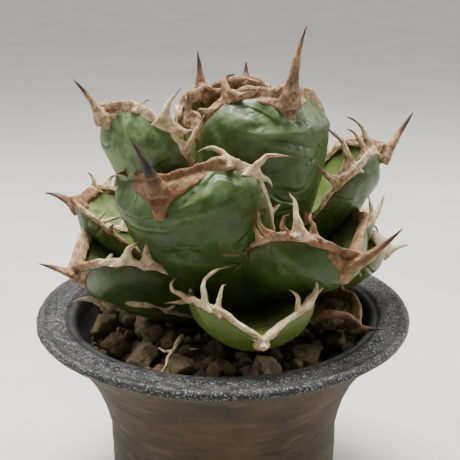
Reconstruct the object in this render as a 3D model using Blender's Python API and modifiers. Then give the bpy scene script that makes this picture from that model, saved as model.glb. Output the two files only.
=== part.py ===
"""A potted agave: a wide-rimmed clay pot, its gravel, and a rosette of thick, toothed leaves.

Metres, +Z up. The origin is the middle of the pot's foot on the floor, +X is to the right and -Y is
the front. Sizes below are in millimetres and heights of the plant are counted from the top of the rim,
so that the plant goes up and down with its pot.

The rosette follows the golden angle: leaf number n stands 137.5 degrees further round the stem than
leaf n - 1, and a little higher. Each leaf, with its horny edge, its teeth and its end spine, is one
piece. Where two leaves would meet, the older one is hollowed to clasp the younger.
"""

import math
import random
from dataclasses import dataclass

import bmesh
import bpy
from mathutils import Matrix, Vector
from mathutils.bvhtree import BVHTree

MM = 0.001
CLEARANCE = 0.3  # gap kept between two pieces that touch
SWELL_LIMIT = 2.5  # a sharp corner of a cutter moves out by at most this many clearances

# The pot
POT_HEIGHT = 92.0
RIM_RADIUS = 75.0
RIM_EDGE = 1.9  # half the thickness of the rolled edge
LEDGE_WIDTH = 15.0  # flat top of the rim, from its edge inwards
NECK_DEPTH = 48.0  # height of the flared part of the pot
BODY_RADIUS = 47.2
WALL = 4.6
FLOOR_THICKNESS = 6.0
FOOT_HEIGHT = 2.6
FOOT_WIDTH = 6.5
FOOT_NOTCH_WIDTH = 9.0
FOOT_NOTCHES = 3
DRAIN_RADIUS = 7.0
TURN_STEPS = 36
FLARE_STEPS = 6

# What the pot holds
NET_RADIUS = 12.0
NET_THICKNESS = 0.9
NET_HOLE = 2.8
NET_PITCH = 4.4
NET_HOLES_ACROSS = 3
SOIL_DEPTH = 14.5  # from the rim's top down to the soil at the wall
SOIL_MOUND = 5.0  # how far the soil rises towards the stem
STONE_RINGS = ((18, 7.4), (10, 7.0))  # stones in each ring from the wall inwards, and their radius
STONE_FLATNESS = 0.76  # height of a stone as a share of its width
STONE_SEED = 4

# The stem and the rolled young leaves at its tip
STEM_X = 4.0  # the plant was set a little to the right of the pot's middle
STEM_ROOT = -46.0
STEM_BULGE = 11.0
STEM_TOP = 22.0
STEM_TOP_RADIUS = 3.6
STEM_STEPS = 20
SPEAR_SEAT = 24.0
SPEAR_LENGTH = 50.0
SPEAR_RADIUS = 5.6
SPEAR_STEPS = 16

# The rosette
GOLDEN_ANGLE = 137.5
FIRST_LEAF_HEADING = -85.0  # degrees, of leaf 0, from +X towards +Y
EDGE_THICKNESS = 1.4
TAPER = 0.35  # share of its thickness that a blade has lost at its tip
SHOULDER = 3.2  # a higher power keeps the blade wide for longer before it closes on the spine
TOOTH_HALF_BASE = 0.035  # half a tooth's root, as a share of its leaf's length
SECTION_STATIONS = (0.0, 0.18, 0.36, 0.54, 0.7, 0.82, 0.91, 0.96)
SPINE_STATIONS = (0.2, 0.45, 0.72)
NECK_OF_SPINE = 3.1  # radius of a spine where it leaves the leaf


@dataclass
class Tooth:
    """One marginal tooth: which edge it is on, where, how long, and how it is turned."""

    side: int  # +1 is the left edge for someone on the stem looking along the leaf
    at: float  # share of the leaf's length
    length: float
    lean: float = 0.0  # degrees towards the leaf's tip
    lift: float = 0.0  # degrees towards the leaf's inner face


@dataclass
class Leaf:
    """One leaf, by its place in the spiral and its shape."""

    name: str
    turn: int  # its number in the spiral; the oldest are below zero
    nudge: float  # degrees that it is pushed round from its place
    seat: float  # height of its root above the rim
    root: float  # distance of its root from the stem's axis
    length: float
    width: float
    rise: tuple  # degrees above level, at root and at tip
    cup: tuple = (40, 50)  # half the angle that a cross section curls through, at root and at tip
    thickness: float = 9.0
    lean: float = 0.0  # degrees that the tip is bent sideways within the blade
    widest: float = 0.68  # share of the length at which the blade is widest
    root_width: float = 0.74
    spine: float = 16.0
    spine_bend: tuple = (0.0, 0.0, 0.0)
    teeth: tuple = ()


def teeth(*rows):
    """Tooth records from short rows of side, place, length, lean and lift."""
    return tuple(Tooth(*row) for row in rows)


LEAVES = (
    Leaf("dry_leaf", -5, 20, -4, 13, 41, 26, (10, 14), cup=(50, 80), thickness=3.2, spine=11,
         teeth=teeth((1, 0.55, 7, 30, 20), (-1, 0.7, 5, 30, 0))),
    Leaf("leaf_low_back", -4, 0, -1, 13, 48, 38, (5, 22), thickness=6,
         teeth=teeth((1, 0.5, 5), (1, 0.75, 6, 30), (-1, 0.45, 5), (-1, 0.7, 6, 30))),
    Leaf("leaf_low_left", -3, -18, -3, 13, 44, 34, (12, 32), cup=(40, 40), thickness=4, spine=12,
         spine_bend=(0, 0, -0.8), teeth=teeth((1, 0.55, 4), (1, 0.8, 4, 30), (-1, 0.6, 4, 20))),
    Leaf("leaf_low_right", -2, 8, 1, 13, 54, 40, (10, 35), spine=10, spine_bend=(0.4, 0, -0.6),
         thickness=7, teeth=teeth((-1, 0.55, 4), (-1, 0.86, 5, 20), (1, 0.6, 6), (1, 0.85, 7, 30))),
    Leaf("leaf_back_left", -1, 0, 0, 13, 52, 40, (8, 25), thickness=7,
         teeth=teeth((1, 0.5, 5), (1, 0.76, 7, 20), (-1, 0.5, 6), (-1, 0.76, 7, 20))),
    Leaf("leaf_front", 0, 2, 4, 12.5, 50, 50, (6, 16), cup=(50, 65), spine=6, lean=4,
         teeth=teeth((-1, 0.33, 9), (-1, 0.5, 12), (-1, 0.68, 15, 10), (-1, 0.86, 6, 40),
                     (1, 0.45, 8), (1, 0.62, 8), (1, 0.8, 4, 20))),
    Leaf("leaf_back_right", 1, 0, 3, 12.5, 54, 44, (12, 32), spine=18,
         teeth=teeth((1, 0.5, 7), (1, 0.78, 8, 25), (-1, 0.45, 6), (-1, 0.75, 8, 25))),
    Leaf("leaf_left_low", 2, 10, 9, 12.5, 52, 58, (5, 28), cup=(60, 60), thickness=12, spine=15,
         spine_bend=(-0.3, 0, 0),
         teeth=teeth((1, 0.3, 8), (1, 0.52, 14), (1, 0.68, 9, 10), (1, 0.86, 3, 40),
                     (-1, 0.7, 8, 20), (-1, 0.86, 9, 50))),
    Leaf("leaf_right_low", 3, -18, 18, 12.5, 50, 60, (8, 34), cup=(55, 62), thickness=12, lean=10,
         spine=23, spine_bend=(0.9, 0.2, 0.2),
         teeth=teeth((-1, 0.22, 12, -10), (-1, 0.42, 10), (-1, 0.64, 13), (-1, 0.84, 6, 20),
                     (1, 0.5, 8), (1, 0.8, 8, 25))),
    Leaf("leaf_back", 4, 0, 6, 12, 58, 48, (18, 42), spine=18,
         teeth=teeth((1, 0.45, 8), (1, 0.7, 10, 10), (-1, 0.45, 7), (-1, 0.72, 10, 10))),
    Leaf("leaf_front_broad", 5, 5, 10, 12, 66, 66, (35, 74), cup=(40, 62), thickness=11, lean=-12,
         widest=0.78, spine=20, spine_bend=(-0.5, 0.2, 0.4),
         teeth=teeth((-1, 0.7, 16, 50), (-1, 0.9, 5, 60), (1, 0.72, 12, 20), (1, 0.9, 9, 60))),
    Leaf("leaf_right_inner", 6, 0, 7, 10.5, 56, 44, (15, 38), cup=(45, 50), spine=12,
         spine_bend=(-0.5, 0, 0.5),
         teeth=teeth((1, 0.6, 8), (1, 0.85, 11, 30), (-1, 0.6, 6), (-1, 0.85, 7, 30))),
    Leaf("leaf_left_thin", 7, 10, 7, 10, 64, 40, (20, 42), cup=(45, 50), spine=15,
         spine_bend=(-0.2, 0, -0.7),
         teeth=teeth((-1, 0.6, 8), (-1, 0.78, 9, 10), (1, 0.7, 5), (1, 0.9, 6, 60))),
    Leaf("leaf_tall", 8, 3, 12, 9, 81, 58, (58, 88), cup=(40, 55), thickness=11, lean=4,
         widest=0.74, spine=26, spine_bend=(0.25, 0, 0),
         teeth=teeth((-1, 0.7, 6), (-1, 0.86, 8, 60), (1, 0.55, 4), (1, 0.78, 4, 20))),
    Leaf("leaf_tall_back", 9, 8, 16, 7.5, 74, 42, (58, 85), spine=9,
         teeth=teeth((-1, 0.6, 7), (-1, 0.85, 6, 40), (1, 0.6, 7), (1, 0.85, 6, 40))),
    Leaf("leaf_left_high", 10, 6, 13, 7.5, 83, 50, (48, 69), cup=(40, 50), lean=-8, spine=16,
         spine_bend=(-0.5, 0, 0),
         teeth=teeth((1, 0.5, 14, 20), (1, 0.68, 15, 20), (1, 0.86, 4, 60), (-1, 0.6, 5))),
    Leaf("leaf_right_high", 11, 12, 14, 8, 70, 46, (32, 60), cup=(50, 55), spine=20,
         spine_bend=(0.2, 0, 0.3),
         teeth=teeth((-1, 0.42, 12), (-1, 0.6, 17, 10), (-1, 0.82, 9, 60), (1, 0.5, 7),
                     (1, 0.72, 8, 20))),
    Leaf("leaf_high_back_left", 12, -8, 16, 7, 69, 40, (65, 85), cup=(50, 60), spine=18,
         spine_bend=(-0.1, 0, 0), teeth=teeth((1, 0.6, 7), (1, 0.82, 7, 30), (-1, 0.7, 6))),
    Leaf("heart_leaf_1", 13, 0, 20, 6.5, 58, 36, (70, 88), cup=(60, 70), thickness=7, spine=12,
         teeth=teeth((1, 0.6, 5), (-1, 0.7, 5))),
    Leaf("heart_leaf_2", 14, 0, 22, 6.2, 56, 34, (72, 88), cup=(62, 72), thickness=7, spine=11,
         teeth=teeth((1, 0.65, 5), (-1, 0.6, 5))),
    Leaf("heart_leaf_3", 15, 0, 24, 6.0, 53, 31, (74, 89), cup=(66, 76), thickness=6, spine=10,
         teeth=teeth((1, 0.6, 4), (-1, 0.7, 4))),
    Leaf("heart_leaf_4", 16, 0, 25, 5.8, 50, 28, (76, 89), cup=(70, 80), thickness=6, spine=10,
         teeth=teeth((1, 0.66, 4), (-1, 0.6, 4))),
)


def clear_scene():
    for obj in list(bpy.data.objects):
        bpy.data.objects.remove(obj, do_unlink=True)


def new_collection(name):
    collection = bpy.data.collections.new(name)
    bpy.context.scene.collection.children.link(collection)
    return collection


def new_material(name, color, roughness):
    material = bpy.data.materials.new(name)
    material.use_nodes = True
    shader = material.node_tree.nodes["Principled BSDF"]
    shader.inputs["Base Color"].default_value = (*color, 1.0)
    shader.inputs["Roughness"].default_value = roughness
    shader.inputs["Metallic"].default_value = 0.0
    material.diffuse_color = (*color, 1.0)
    return material


def mesh_object(name, bm, collection, material=None):
    """An object from a bmesh that is in millimetres, with its faces turned outwards."""
    bmesh.ops.recalc_face_normals(bm, faces=bm.faces)
    if bm.calc_volume(signed=True) < 0:
        bmesh.ops.reverse_faces(bm, faces=bm.faces)
    bmesh.ops.transform(bm, matrix=Matrix.Scale(MM, 4), verts=bm.verts)
    mesh = bpy.data.meshes.new(name)
    bm.to_mesh(mesh)
    bm.free()
    obj = bpy.data.objects.new(name, mesh)
    collection.objects.link(obj)
    if material:
        mesh.materials.append(material)
    return obj


def turned(name, outline, closed, steps, collection, material):
    """A solid of revolution from (radius, height) points in millimetres, run from top to bottom outside."""
    mesh = bpy.data.meshes.new(name)
    points = [(radius * MM, 0.0, height * MM) for radius, height in outline]
    count = len(points)
    edges = [(i, i + 1) for i in range(count - 1)]
    if closed:
        edges.append((count - 1, 0))
    mesh.from_pydata(points, edges, [])
    mesh.materials.append(material)
    obj = bpy.data.objects.new(name, mesh)
    collection.objects.link(obj)
    screw = obj.modifiers.new("turn", "SCREW")
    screw.steps = steps
    screw.render_steps = steps
    screw.use_merge_vertices = True
    screw.merge_threshold = 0.00001
    screw.use_smooth_shade = False
    return obj


def cut_with(obj, cutter):
    boolean = obj.modifiers.new(cutter.name, "BOOLEAN")
    boolean.operation = "DIFFERENCE"
    boolean.solver = "EXACT"
    boolean.use_self = True
    boolean.object = cutter


def hide_cutter(cutter):
    cutter.hide_render = True
    cutter.display_type = "WIRE"


# ---------------------------------------------------------------- the pot

def pot_outside():
    """(radius, height) points of the pot's outer side, from the rim's edge down to the foot."""
    edge_height = POT_HEIGHT - RIM_EDGE
    edge_centre = RIM_RADIUS - RIM_EDGE
    points = [
        (edge_centre + RIM_EDGE * math.cos(angle), edge_height + RIM_EDGE * math.sin(angle))
        for angle in (math.radians(a) for a in (90, 45, 0, -45))
    ]
    flare_start = Vector((edge_centre - 1.5, edge_height - RIM_EDGE - 1.0))
    flare_end = Vector((BODY_RADIUS + 0.2, POT_HEIGHT - NECK_DEPTH))
    corner = Vector((BODY_RADIUS + 4.5, POT_HEIGHT - NECK_DEPTH * 0.46))
    for step in range(FLARE_STEPS + 1):
        share = step / FLARE_STEPS
        low = flare_start.lerp(corner, share)
        points.append(tuple(low.lerp(corner.lerp(flare_end, share), share)))
    points.append((BODY_RADIUS, 3.0))
    points.append((BODY_RADIUS - 1.0, 0.0))
    return points


def pot_inside():
    """(radius, height) points of the pot's inner side, from its floor up to the ledge."""
    points = [(DRAIN_RADIUS, FLOOR_THICKNESS), (BODY_RADIUS - WALL - 3.0, FLOOR_THICKNESS)]
    points.append((BODY_RADIUS - WALL, FLOOR_THICKNESS + 3.5))
    points.append((BODY_RADIUS - WALL + 0.3, POT_HEIGHT - NECK_DEPTH))
    throat = RIM_RADIUS - LEDGE_WIDTH
    bottom = Vector(points[-1])
    top = Vector((throat - 1.6, POT_HEIGHT - 8.0))
    bend = Vector((BODY_RADIUS - WALL + 3.0, POT_HEIGHT - NECK_DEPTH * 0.6))
    for step in range(1, 5):
        share = step / 4
        points.append(tuple(bottom.lerp(bend, share).lerp(bend.lerp(top, share), share)))
    points.append((throat - 1.0, POT_HEIGHT - 3.6))
    points.append((throat + 0.6, POT_HEIGHT - 1.5))
    points.append((throat + 3.4, POT_HEIGHT - 1.0))
    points.append((RIM_RADIUS - 6.0, POT_HEIGHT - 0.8))
    return points


def inner_radius(height):
    """Radius of the pot's inner side at a height above the floor."""
    points = pot_inside()
    for (r0, h0), (r1, h1) in zip(points, points[1:]):
        if h1 > h0 and h0 <= height <= h1:
            return r0 + (r1 - r0) * (height - h0) / (h1 - h0)
    return points[-1][0]


def build_pot(collection, cutters, material):
    outline = pot_outside()
    foot_inner = BODY_RADIUS - FOOT_WIDTH
    outline.append((foot_inner, 0.0))
    outline.append((foot_inner - 1.0, FOOT_HEIGHT))
    outline.append((DRAIN_RADIUS, FOOT_HEIGHT))
    outline.extend(pot_inside())
    pot = turned("pot", outline, True, TURN_STEPS, collection, material)
    bm = bmesh.new()
    for notch in range(FOOT_NOTCHES):
        turn = Matrix.Rotation(math.tau * (notch + 0.5) / FOOT_NOTCHES, 4, "Z")
        size = Matrix.Diagonal((BODY_RADIUS, FOOT_NOTCH_WIDTH, FOOT_HEIGHT * 2, 1.0))
        place = Matrix.Translation((BODY_RADIUS * 0.5 + BODY_RADIUS - FOOT_WIDTH * 2, 0.0, 0.0))
        bmesh.ops.create_cube(bm, size=1.0, matrix=turn @ place @ size)
    notches = mesh_object("foot_notches", bm, cutters)
    hide_cutter(notches)
    cut_with(pot, notches)
    return pot


def build_net(collection, cutters, material):
    """The plastic net that keeps the soil from the drain hole."""
    bottom = FLOOR_THICKNESS + CLEARANCE
    bm = bmesh.new()
    place = Matrix.Translation((0.0, 0.0, bottom + NET_THICKNESS / 2))
    bmesh.ops.create_cone(
        bm, cap_ends=True, segments=24, radius1=NET_RADIUS, radius2=NET_RADIUS,
        depth=NET_THICKNESS, matrix=place,
    )
    net = mesh_object("drain_net", bm, collection, material)
    bm = bmesh.new()
    middle = (NET_HOLES_ACROSS - 1) / 2
    for column in range(NET_HOLES_ACROSS):
        for row in range(NET_HOLES_ACROSS):
            spot = Vector(((column - middle) * NET_PITCH, (row - middle) * NET_PITCH, bottom))
            size = Matrix.Diagonal((NET_HOLE, NET_HOLE, NET_THICKNESS * 6, 1.0))
            bmesh.ops.create_cube(bm, size=1.0, matrix=Matrix.Translation(spot) @ size)
    holes = mesh_object("net_holes", bm, cutters)
    hide_cutter(holes)
    cut_with(net, holes)
    return net


# ---------------------------------------------------------------- soil and stones

def soil_height(radius):
    """Height of the soil's surface at a distance from the pot's middle."""
    edge = inner_radius(POT_HEIGHT - SOIL_DEPTH) - CLEARANCE
    share = min(radius / edge, 1.0)
    return POT_HEIGHT - SOIL_DEPTH + SOIL_MOUND * (1.0 - share * share)


def build_soil(collection, material):
    edge_height = POT_HEIGHT - SOIL_DEPTH
    edge = inner_radius(edge_height) - CLEARANCE
    outline = [(edge * share, soil_height(edge * share)) for share in (0.0, 0.3, 0.55, 0.8, 1.0)]
    wall = [(radius, height) for radius, height in pot_inside()[2:] if height < edge_height - 1.0]
    outline.extend((radius - CLEARANCE, height) for radius, height in reversed(wall))
    net_top = FLOOR_THICKNESS + CLEARANCE + NET_THICKNESS + CLEARANCE
    outline.append((BODY_RADIUS - WALL - 3.0, FLOOR_THICKNESS + CLEARANCE))
    outline.append((NET_RADIUS + CLEARANCE, FLOOR_THICKNESS + CLEARANCE))
    outline.append((NET_RADIUS + CLEARANCE, net_top))
    outline.append((0.0, net_top))
    return turned("substrate", outline, False, TURN_STEPS, collection, material)


def build_stone(name, centre, radius, dice, collection, material):
    """An angular stone: a ball of few faces with each corner pushed in by its own amount."""
    bm = bmesh.new()
    bmesh.ops.create_icosphere(bm, subdivisions=2, radius=radius)
    for vert in bm.verts:
        vert.co *= dice.uniform(0.78, 1.0)
    squash = Matrix.Diagonal((dice.uniform(0.85, 1.0), dice.uniform(0.7, 0.95), STONE_FLATNESS, 1.0))
    spin = Matrix.Rotation(dice.uniform(0.0, math.tau), 4, "Z")
    bmesh.ops.transform(bm, matrix=Matrix.Translation(centre) @ spin @ squash, verts=bm.verts)
    return mesh_object(name, bm, collection, material)


def build_stones(collection, material):
    dice = random.Random(STONE_SEED)
    stones = []
    wall = inner_radius(POT_HEIGHT - SOIL_DEPTH) - CLEARANCE
    for count, nominal in STONE_RINGS:
        ring = wall - nominal
        pitch = math.tau * ring / count
        largest = min(nominal, (pitch - CLEARANCE) / 2)
        for index in range(count):
            radius = largest * dice.uniform(0.86, 1.0)
            spare = (pitch - CLEARANCE) / 2 - radius
            angle = math.tau * (index + 0.5) / count + dice.uniform(-0.45, 0.45) * spare / ring
            outside = soil_height(ring + radius)
            inside = soil_height(ring - radius)
            height = max(outside, inside) + radius * STONE_FLATNESS + CLEARANCE
            centre = Vector((ring * math.cos(angle), ring * math.sin(angle), height))
            name = f"stone_{len(stones) + 1:02d}"
            stones.append(build_stone(name, centre, radius, dice, collection, material))
        wall = ring - nominal - CLEARANCE
    return stones


# ---------------------------------------------------------------- stem and spear

def build_stem(collection, material):
    """The short woody stem, from its root crown in the soil to the seat of the youngest leaves."""
    outline = [
        (0.0, STEM_TOP), (STEM_TOP_RADIUS, STEM_TOP - 1.0), (STEM_TOP_RADIUS + 2.0, 14.0),
        (STEM_TOP_RADIUS + 4.0, 6.0), (STEM_BULGE, -3.0), (STEM_BULGE, -14.0),
        (STEM_BULGE - 2.0, -26.0), (4.0, -38.0), (0.0, STEM_ROOT),
    ]
    raised = [(radius, POT_HEIGHT + height) for radius, height in outline]
    stem = turned("stem", raised, False, STEM_STEPS, collection, material)
    stem.location.x = STEM_X * MM
    return stem


def build_spear(collection, material):
    """The young leaves that are still rolled into one point."""
    outline = [(0.0, SPEAR_LENGTH)]
    for share in (0.9, 0.72, 0.5, 0.28, 0.1, 0.0):
        swell = math.sin(math.pi * min(0.5 + share * 0.5, 1.0)) ** 0.8
        outline.append((SPEAR_RADIUS * swell, SPEAR_LENGTH * share))
    outline.append((0.0, 0.0))
    raised = [(radius, POT_HEIGHT + SPEAR_SEAT + height) for radius, height in outline]
    spear = turned("spear", raised, False, SPEAR_STEPS, collection, material)
    spear.location.x = STEM_X * MM
    return spear


# ---------------------------------------------------------------- leaves

def half_width(leaf, share):
    """Half the blade's width at a share of its length: a broad root, wide shoulders, a short tip."""
    full = leaf.width / 2
    if share < leaf.widest:
        ease = share / leaf.widest
        return full * (leaf.root_width + (1 - leaf.root_width) * ease * ease * (3 - 2 * ease))
    fall = (share - leaf.widest) / (1 - leaf.widest)
    return NECK_OF_SPINE + (full - NECK_OF_SPINE) * (1 - fall ** SHOULDER) ** 0.5


def blend(ends, share):
    """The value at a share of the way from the first of two ends to the second."""
    return ends[0] + (ends[1] - ends[0]) * share


def leaf_heading(leaf):
    """The leaf's direction from the stem, in radians from +X towards +Y."""
    return math.radians(FIRST_LEAF_HEADING + GOLDEN_ANGLE * leaf.turn + leaf.nudge)


def leaf_axes(leaf, share):
    """Unit vectors along the blade, across it, and out of its inner face."""
    heading = leaf_heading(leaf)
    rise = math.radians(blend(leaf.rise, share))
    lean = math.radians(leaf.lean * share)
    outward = Vector((math.cos(heading), math.sin(heading), 0.0))
    along = outward * math.cos(rise) + Vector((0.0, 0.0, math.sin(rise)))
    across = Vector((-math.sin(heading), math.cos(heading), 0.0))
    face = along.cross(across)
    leaned = along * math.cos(lean) + across * math.sin(lean)
    return leaned, across * math.cos(lean) - along * math.sin(lean), face


def midrib(leaf, stations):
    """Points on the middle of the blade's inner face at the given shares of its length."""
    heading = leaf_heading(leaf)
    point = Vector((STEM_X, 0.0, POT_HEIGHT + leaf.seat))
    point += Vector((math.cos(heading), math.sin(heading), 0.0)) * leaf.root
    points = []
    last = 0.0
    for share in stations:
        along = leaf_axes(leaf, (last + share) / 2)[0]
        point = point + along * leaf.length * (share - last)
        points.append(point)
        last = share
    return points


def leaf_section(leaf, share, centre):
    """Eight points round the blade: an edge, three inner, the other edge, three outer."""
    _, across, face = leaf_axes(leaf, share)
    curl = math.radians(blend(leaf.cup, share))
    bend = half_width(leaf, share) / curl
    depth = leaf.thickness * (1 - TAPER * share)
    ring = []
    for place, outer in ((1, 0), (0.6, 0), (0, 0), (-0.6, 0), (-1, 0), (-0.64, 1), (0, 1), (0.64, 1)):
        angle = curl * place
        normal = face * math.cos(angle) - across * math.sin(angle)
        point = centre + across * bend * math.sin(angle) + face * bend * (1 - math.cos(angle))
        body = EDGE_THICKNESS + (depth - EDGE_THICKNESS) * (1 - place * place) ** 0.7
        ring.append(point - normal * body * outer)
    return ring


def tooth_tip(leaf, tooth, root):
    along, across, face = leaf_axes(leaf, tooth.at)
    curl = math.radians(blend(leaf.cup, tooth.at))
    outward = across * math.cos(curl) * tooth.side + face * math.sin(curl)
    normal = face * math.cos(curl) - across * math.sin(curl) * tooth.side
    lean = math.radians(tooth.lean)
    lift = math.radians(tooth.lift)
    flat = outward * math.cos(lean) + along * math.sin(lean)
    return root + (flat * math.cos(lift) + normal * math.sin(lift)) * tooth.length


def spine_rings(leaf, start):
    """Round sections of the end spine from its neck on, then its point."""
    direction, across, face = leaf_axes(leaf, 1.0)
    bend = Vector(leaf.spine_bend)
    rings = []
    centre = start - face * NECK_OF_SPINE
    last = 0.0
    for share in (0.0, *SPINE_STATIONS, 1.0):
        heading = (direction + bend * (last + share) / 2).normalized()
        centre = centre + heading * leaf.spine * (share - last)
        last = share
        radius = NECK_OF_SPINE * (1 - share)
        ring = [
            centre + (across * math.cos(turn) + face * math.sin(turn)) * radius
            for turn in (math.tau * step / 8 for step in range(8))
        ]
        rings.append(ring)
    return rings[:-1], centre


def loft(bm, rings, tip):
    """Faces between one ring and the next, closed across the root and by a fan at the tip."""
    rows = [[bm.verts.new(point) for point in ring] for ring in rings]
    count = len(rows[0])
    for low, high in zip(rows, rows[1:]):
        for i in range(count):
            j = (i + 1) % count
            bm.faces.new((low[i], low[j], high[j], high[i]))
    point = bm.verts.new(tip)
    for i in range(count):
        bm.faces.new((rows[-1][i], rows[-1][(i + 1) % count], point))
    root = rows[0]
    for corners in ((0, 7, 1), (1, 7, 6, 2), (2, 6, 5, 3), (3, 5, 4)):
        bm.faces.new([root[i] for i in corners])


def build_leaf(leaf, collection, material):
    stations = set(SECTION_STATIONS)
    for tooth in leaf.teeth:
        stations.update((tooth.at - TOOTH_HALF_BASE, tooth.at, tooth.at + TOOTH_HALF_BASE))
    stations = sorted(stations)
    centres = midrib(leaf, (*stations, 1.0))
    rings = []
    for share, centre in zip(stations, centres):
        ring = leaf_section(leaf, share, centre)
        for tooth in leaf.teeth:
            if tooth.at == share:
                edge = 0 if tooth.side > 0 else 4
                ring[edge] = tooth_tip(leaf, tooth, ring[edge])
        rings.append(ring)
    rounds, tip = spine_rings(leaf, centres[-1])
    bm = bmesh.new()
    loft(bm, rings + rounds, tip)
    bmesh.ops.triangulate(bm, faces=bm.faces)
    return mesh_object(leaf.name, bm, collection, material)


# ---------------------------------------------------------------- fitting pieces together

def baked(obj):
    """The object's mesh in world space, with its modifiers applied."""
    graph = bpy.context.evaluated_depsgraph_get()
    bm = bmesh.new()
    bm.from_object(obj, graph)
    bmesh.ops.transform(bm, matrix=obj.matrix_world, verts=bm.verts)
    return bm


def swollen(obj, collection):
    """A copy of the object, grown by the clearance on every side, to cut with."""
    bm = baked(obj)
    bm.normal_update()
    moves = [
        vert.normal * CLEARANCE * MM * min(vert.calc_shell_factor(), SWELL_LIMIT) for vert in bm.verts
    ]
    for vert, move in zip(bm.verts, moves):
        vert.co += move
    mesh = bpy.data.meshes.new(f"{obj.name}_swollen")
    bm.to_mesh(mesh)
    bm.free()
    copy = bpy.data.objects.new(mesh.name, mesh)
    collection.objects.link(copy)
    hide_cutter(copy)
    return copy


def touches(first, second):
    """Whether two objects' surfaces meet."""
    trees = []
    for obj in (first, second):
        bm = baked(obj)
        trees.append(BVHTree.FromBMesh(bm))
        bm.free()
    return bool(trees[0].overlap(trees[1]))


def shell_of(face):
    """The faces joined to this one across edges that just two faces share."""
    shell = {face}
    search = [face]
    while search:
        for edge in search.pop().edges:
            if len(edge.link_faces) != 2:
                continue
            for other in edge.link_faces:
                if other not in shell:
                    shell.add(other)
                    search.append(other)
    return shell


def keep_largest_shell(bm):
    """Deletes every shell of the mesh but the one of most area, with the scraps a cut leaves."""
    left = set(bm.faces)
    shells = []
    while left:
        shell = shell_of(next(iter(left)))
        left -= shell
        shells.append(shell)
    shells.sort(key=lambda shell: sum(face.calc_area() for face in shell))
    scraps = [face for shell in shells[:-1] for face in shell]
    bmesh.ops.delete(bm, geom=scraps, context="FACES")


def carve(obj, cutters):
    """Cuts the swollen copies that reach the object out of it, and keeps the result as its mesh."""
    near = [cutter for cutter in cutters if touches(obj, cutter)]
    if not near:
        return
    for cutter in near:
        cut_with(obj, cutter)
    bpy.context.view_layer.update()
    bm = baked(obj)
    keep_largest_shell(bm)
    obj.modifiers.clear()
    obj.location = (0.0, 0.0, 0.0)
    bm.to_mesh(obj.data)
    bm.free()


def nest(pieces, temporary):
    """Fits the pieces together, youngest and innermost first: each later one clasps those before it."""
    cutters = []
    for piece in pieces:
        bpy.context.view_layer.update()
        whole = swollen(piece, temporary)
        bpy.context.view_layer.update()
        carve(piece, cutters)
        cutters.append(whole)
    for cutter in cutters:
        bpy.data.objects.remove(cutter, do_unlink=True)


def main():
    clear_scene()
    parts = new_collection("potted_agave")
    cutters = new_collection("cutters")
    clay = new_material("dark_clay", (0.075, 0.078, 0.082), 0.6)
    plastic = new_material("black_net", (0.02, 0.02, 0.02), 0.5)
    soil = new_material("substrate", (0.06, 0.045, 0.033), 0.95)
    gravel = new_material("gravel", (0.2, 0.145, 0.095), 0.9)
    bark = new_material("stem_bark", (0.16, 0.11, 0.07), 0.85)
    skin = new_material("leaf_skin", (0.085, 0.16, 0.075), 0.5)
    pale_skin = new_material("spear_skin", (0.2, 0.28, 0.12), 0.5)
    straw = new_material("dry_leaf", (0.25, 0.17, 0.1), 0.85)

    build_pot(parts, cutters, clay)
    build_net(parts, cutters, plastic)
    substrate = build_soil(parts, soil)
    stones = build_stones(parts, gravel)
    stem = build_stem(parts, bark)
    spear = build_spear(parts, pale_skin)
    leaves = []
    for leaf in reversed(LEAVES):
        material = straw if leaf.name.startswith("dry") else skin
        leaves.append(build_leaf(leaf, parts, material))
    temporary = new_collection("nesting")
    nest([stem, spear, *leaves, substrate, *stones], temporary)
    bpy.data.collections.remove(temporary)


if __name__ == "__main__":
    main()
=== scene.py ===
"""Looks of the potted agave: thrown clay pot, gravel, and a rosette of horn-edged leaves.

Sizes are in millimetres until a mesh is made. Heights of the plant are counted from the pot's rim.
"""

import logging
import math
from dataclasses import dataclass, field
from enum import Enum

import bmesh
import bpy
import numpy as np
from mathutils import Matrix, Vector


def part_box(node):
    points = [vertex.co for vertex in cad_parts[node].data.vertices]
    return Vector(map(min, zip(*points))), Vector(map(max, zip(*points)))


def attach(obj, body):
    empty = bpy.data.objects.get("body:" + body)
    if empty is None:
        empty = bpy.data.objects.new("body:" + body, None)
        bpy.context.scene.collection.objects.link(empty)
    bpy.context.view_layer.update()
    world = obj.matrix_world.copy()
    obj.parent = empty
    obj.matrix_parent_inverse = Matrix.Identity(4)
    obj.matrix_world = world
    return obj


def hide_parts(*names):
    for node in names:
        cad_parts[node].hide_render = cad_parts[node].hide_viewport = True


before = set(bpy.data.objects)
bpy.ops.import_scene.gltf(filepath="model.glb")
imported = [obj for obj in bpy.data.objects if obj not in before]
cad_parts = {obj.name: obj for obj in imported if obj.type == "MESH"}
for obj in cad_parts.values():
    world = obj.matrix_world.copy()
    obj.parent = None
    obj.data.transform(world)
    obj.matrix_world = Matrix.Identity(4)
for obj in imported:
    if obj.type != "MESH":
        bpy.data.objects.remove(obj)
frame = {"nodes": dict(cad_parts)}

LOG = logging.getLogger("potted_agave")
MM = 0.001
BODY = "root"
SEAM = (0.2, 1.25)  # tip and age where horn meets skin, which dries darkest
Array = np.ndarray
Triple = tuple[float, float, float]


class Slot(str, Enum):
    """Names of material slots, one for each kind of finished piece."""

    CLAY = "pot_clay"
    SOIL = "substrate"
    GRAVEL = "gravel"
    BARK = "stem_bark"
    SKIN = "leaf_skin"
    SPEAR = "spear_skin"
    DRY = "dry_leaf"


class Face(Enum):
    """The two sides of a leaf's blade."""

    INNER = 0
    OUTER = 1


# ---------------------------------------------------------------- noise and vectors


def unit(vectors: Array) -> Array:
    """Vectors at length one, row by row."""
    return vectors / np.maximum(np.linalg.norm(vectors, axis=-1, keepdims=True), 1e-9)


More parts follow.
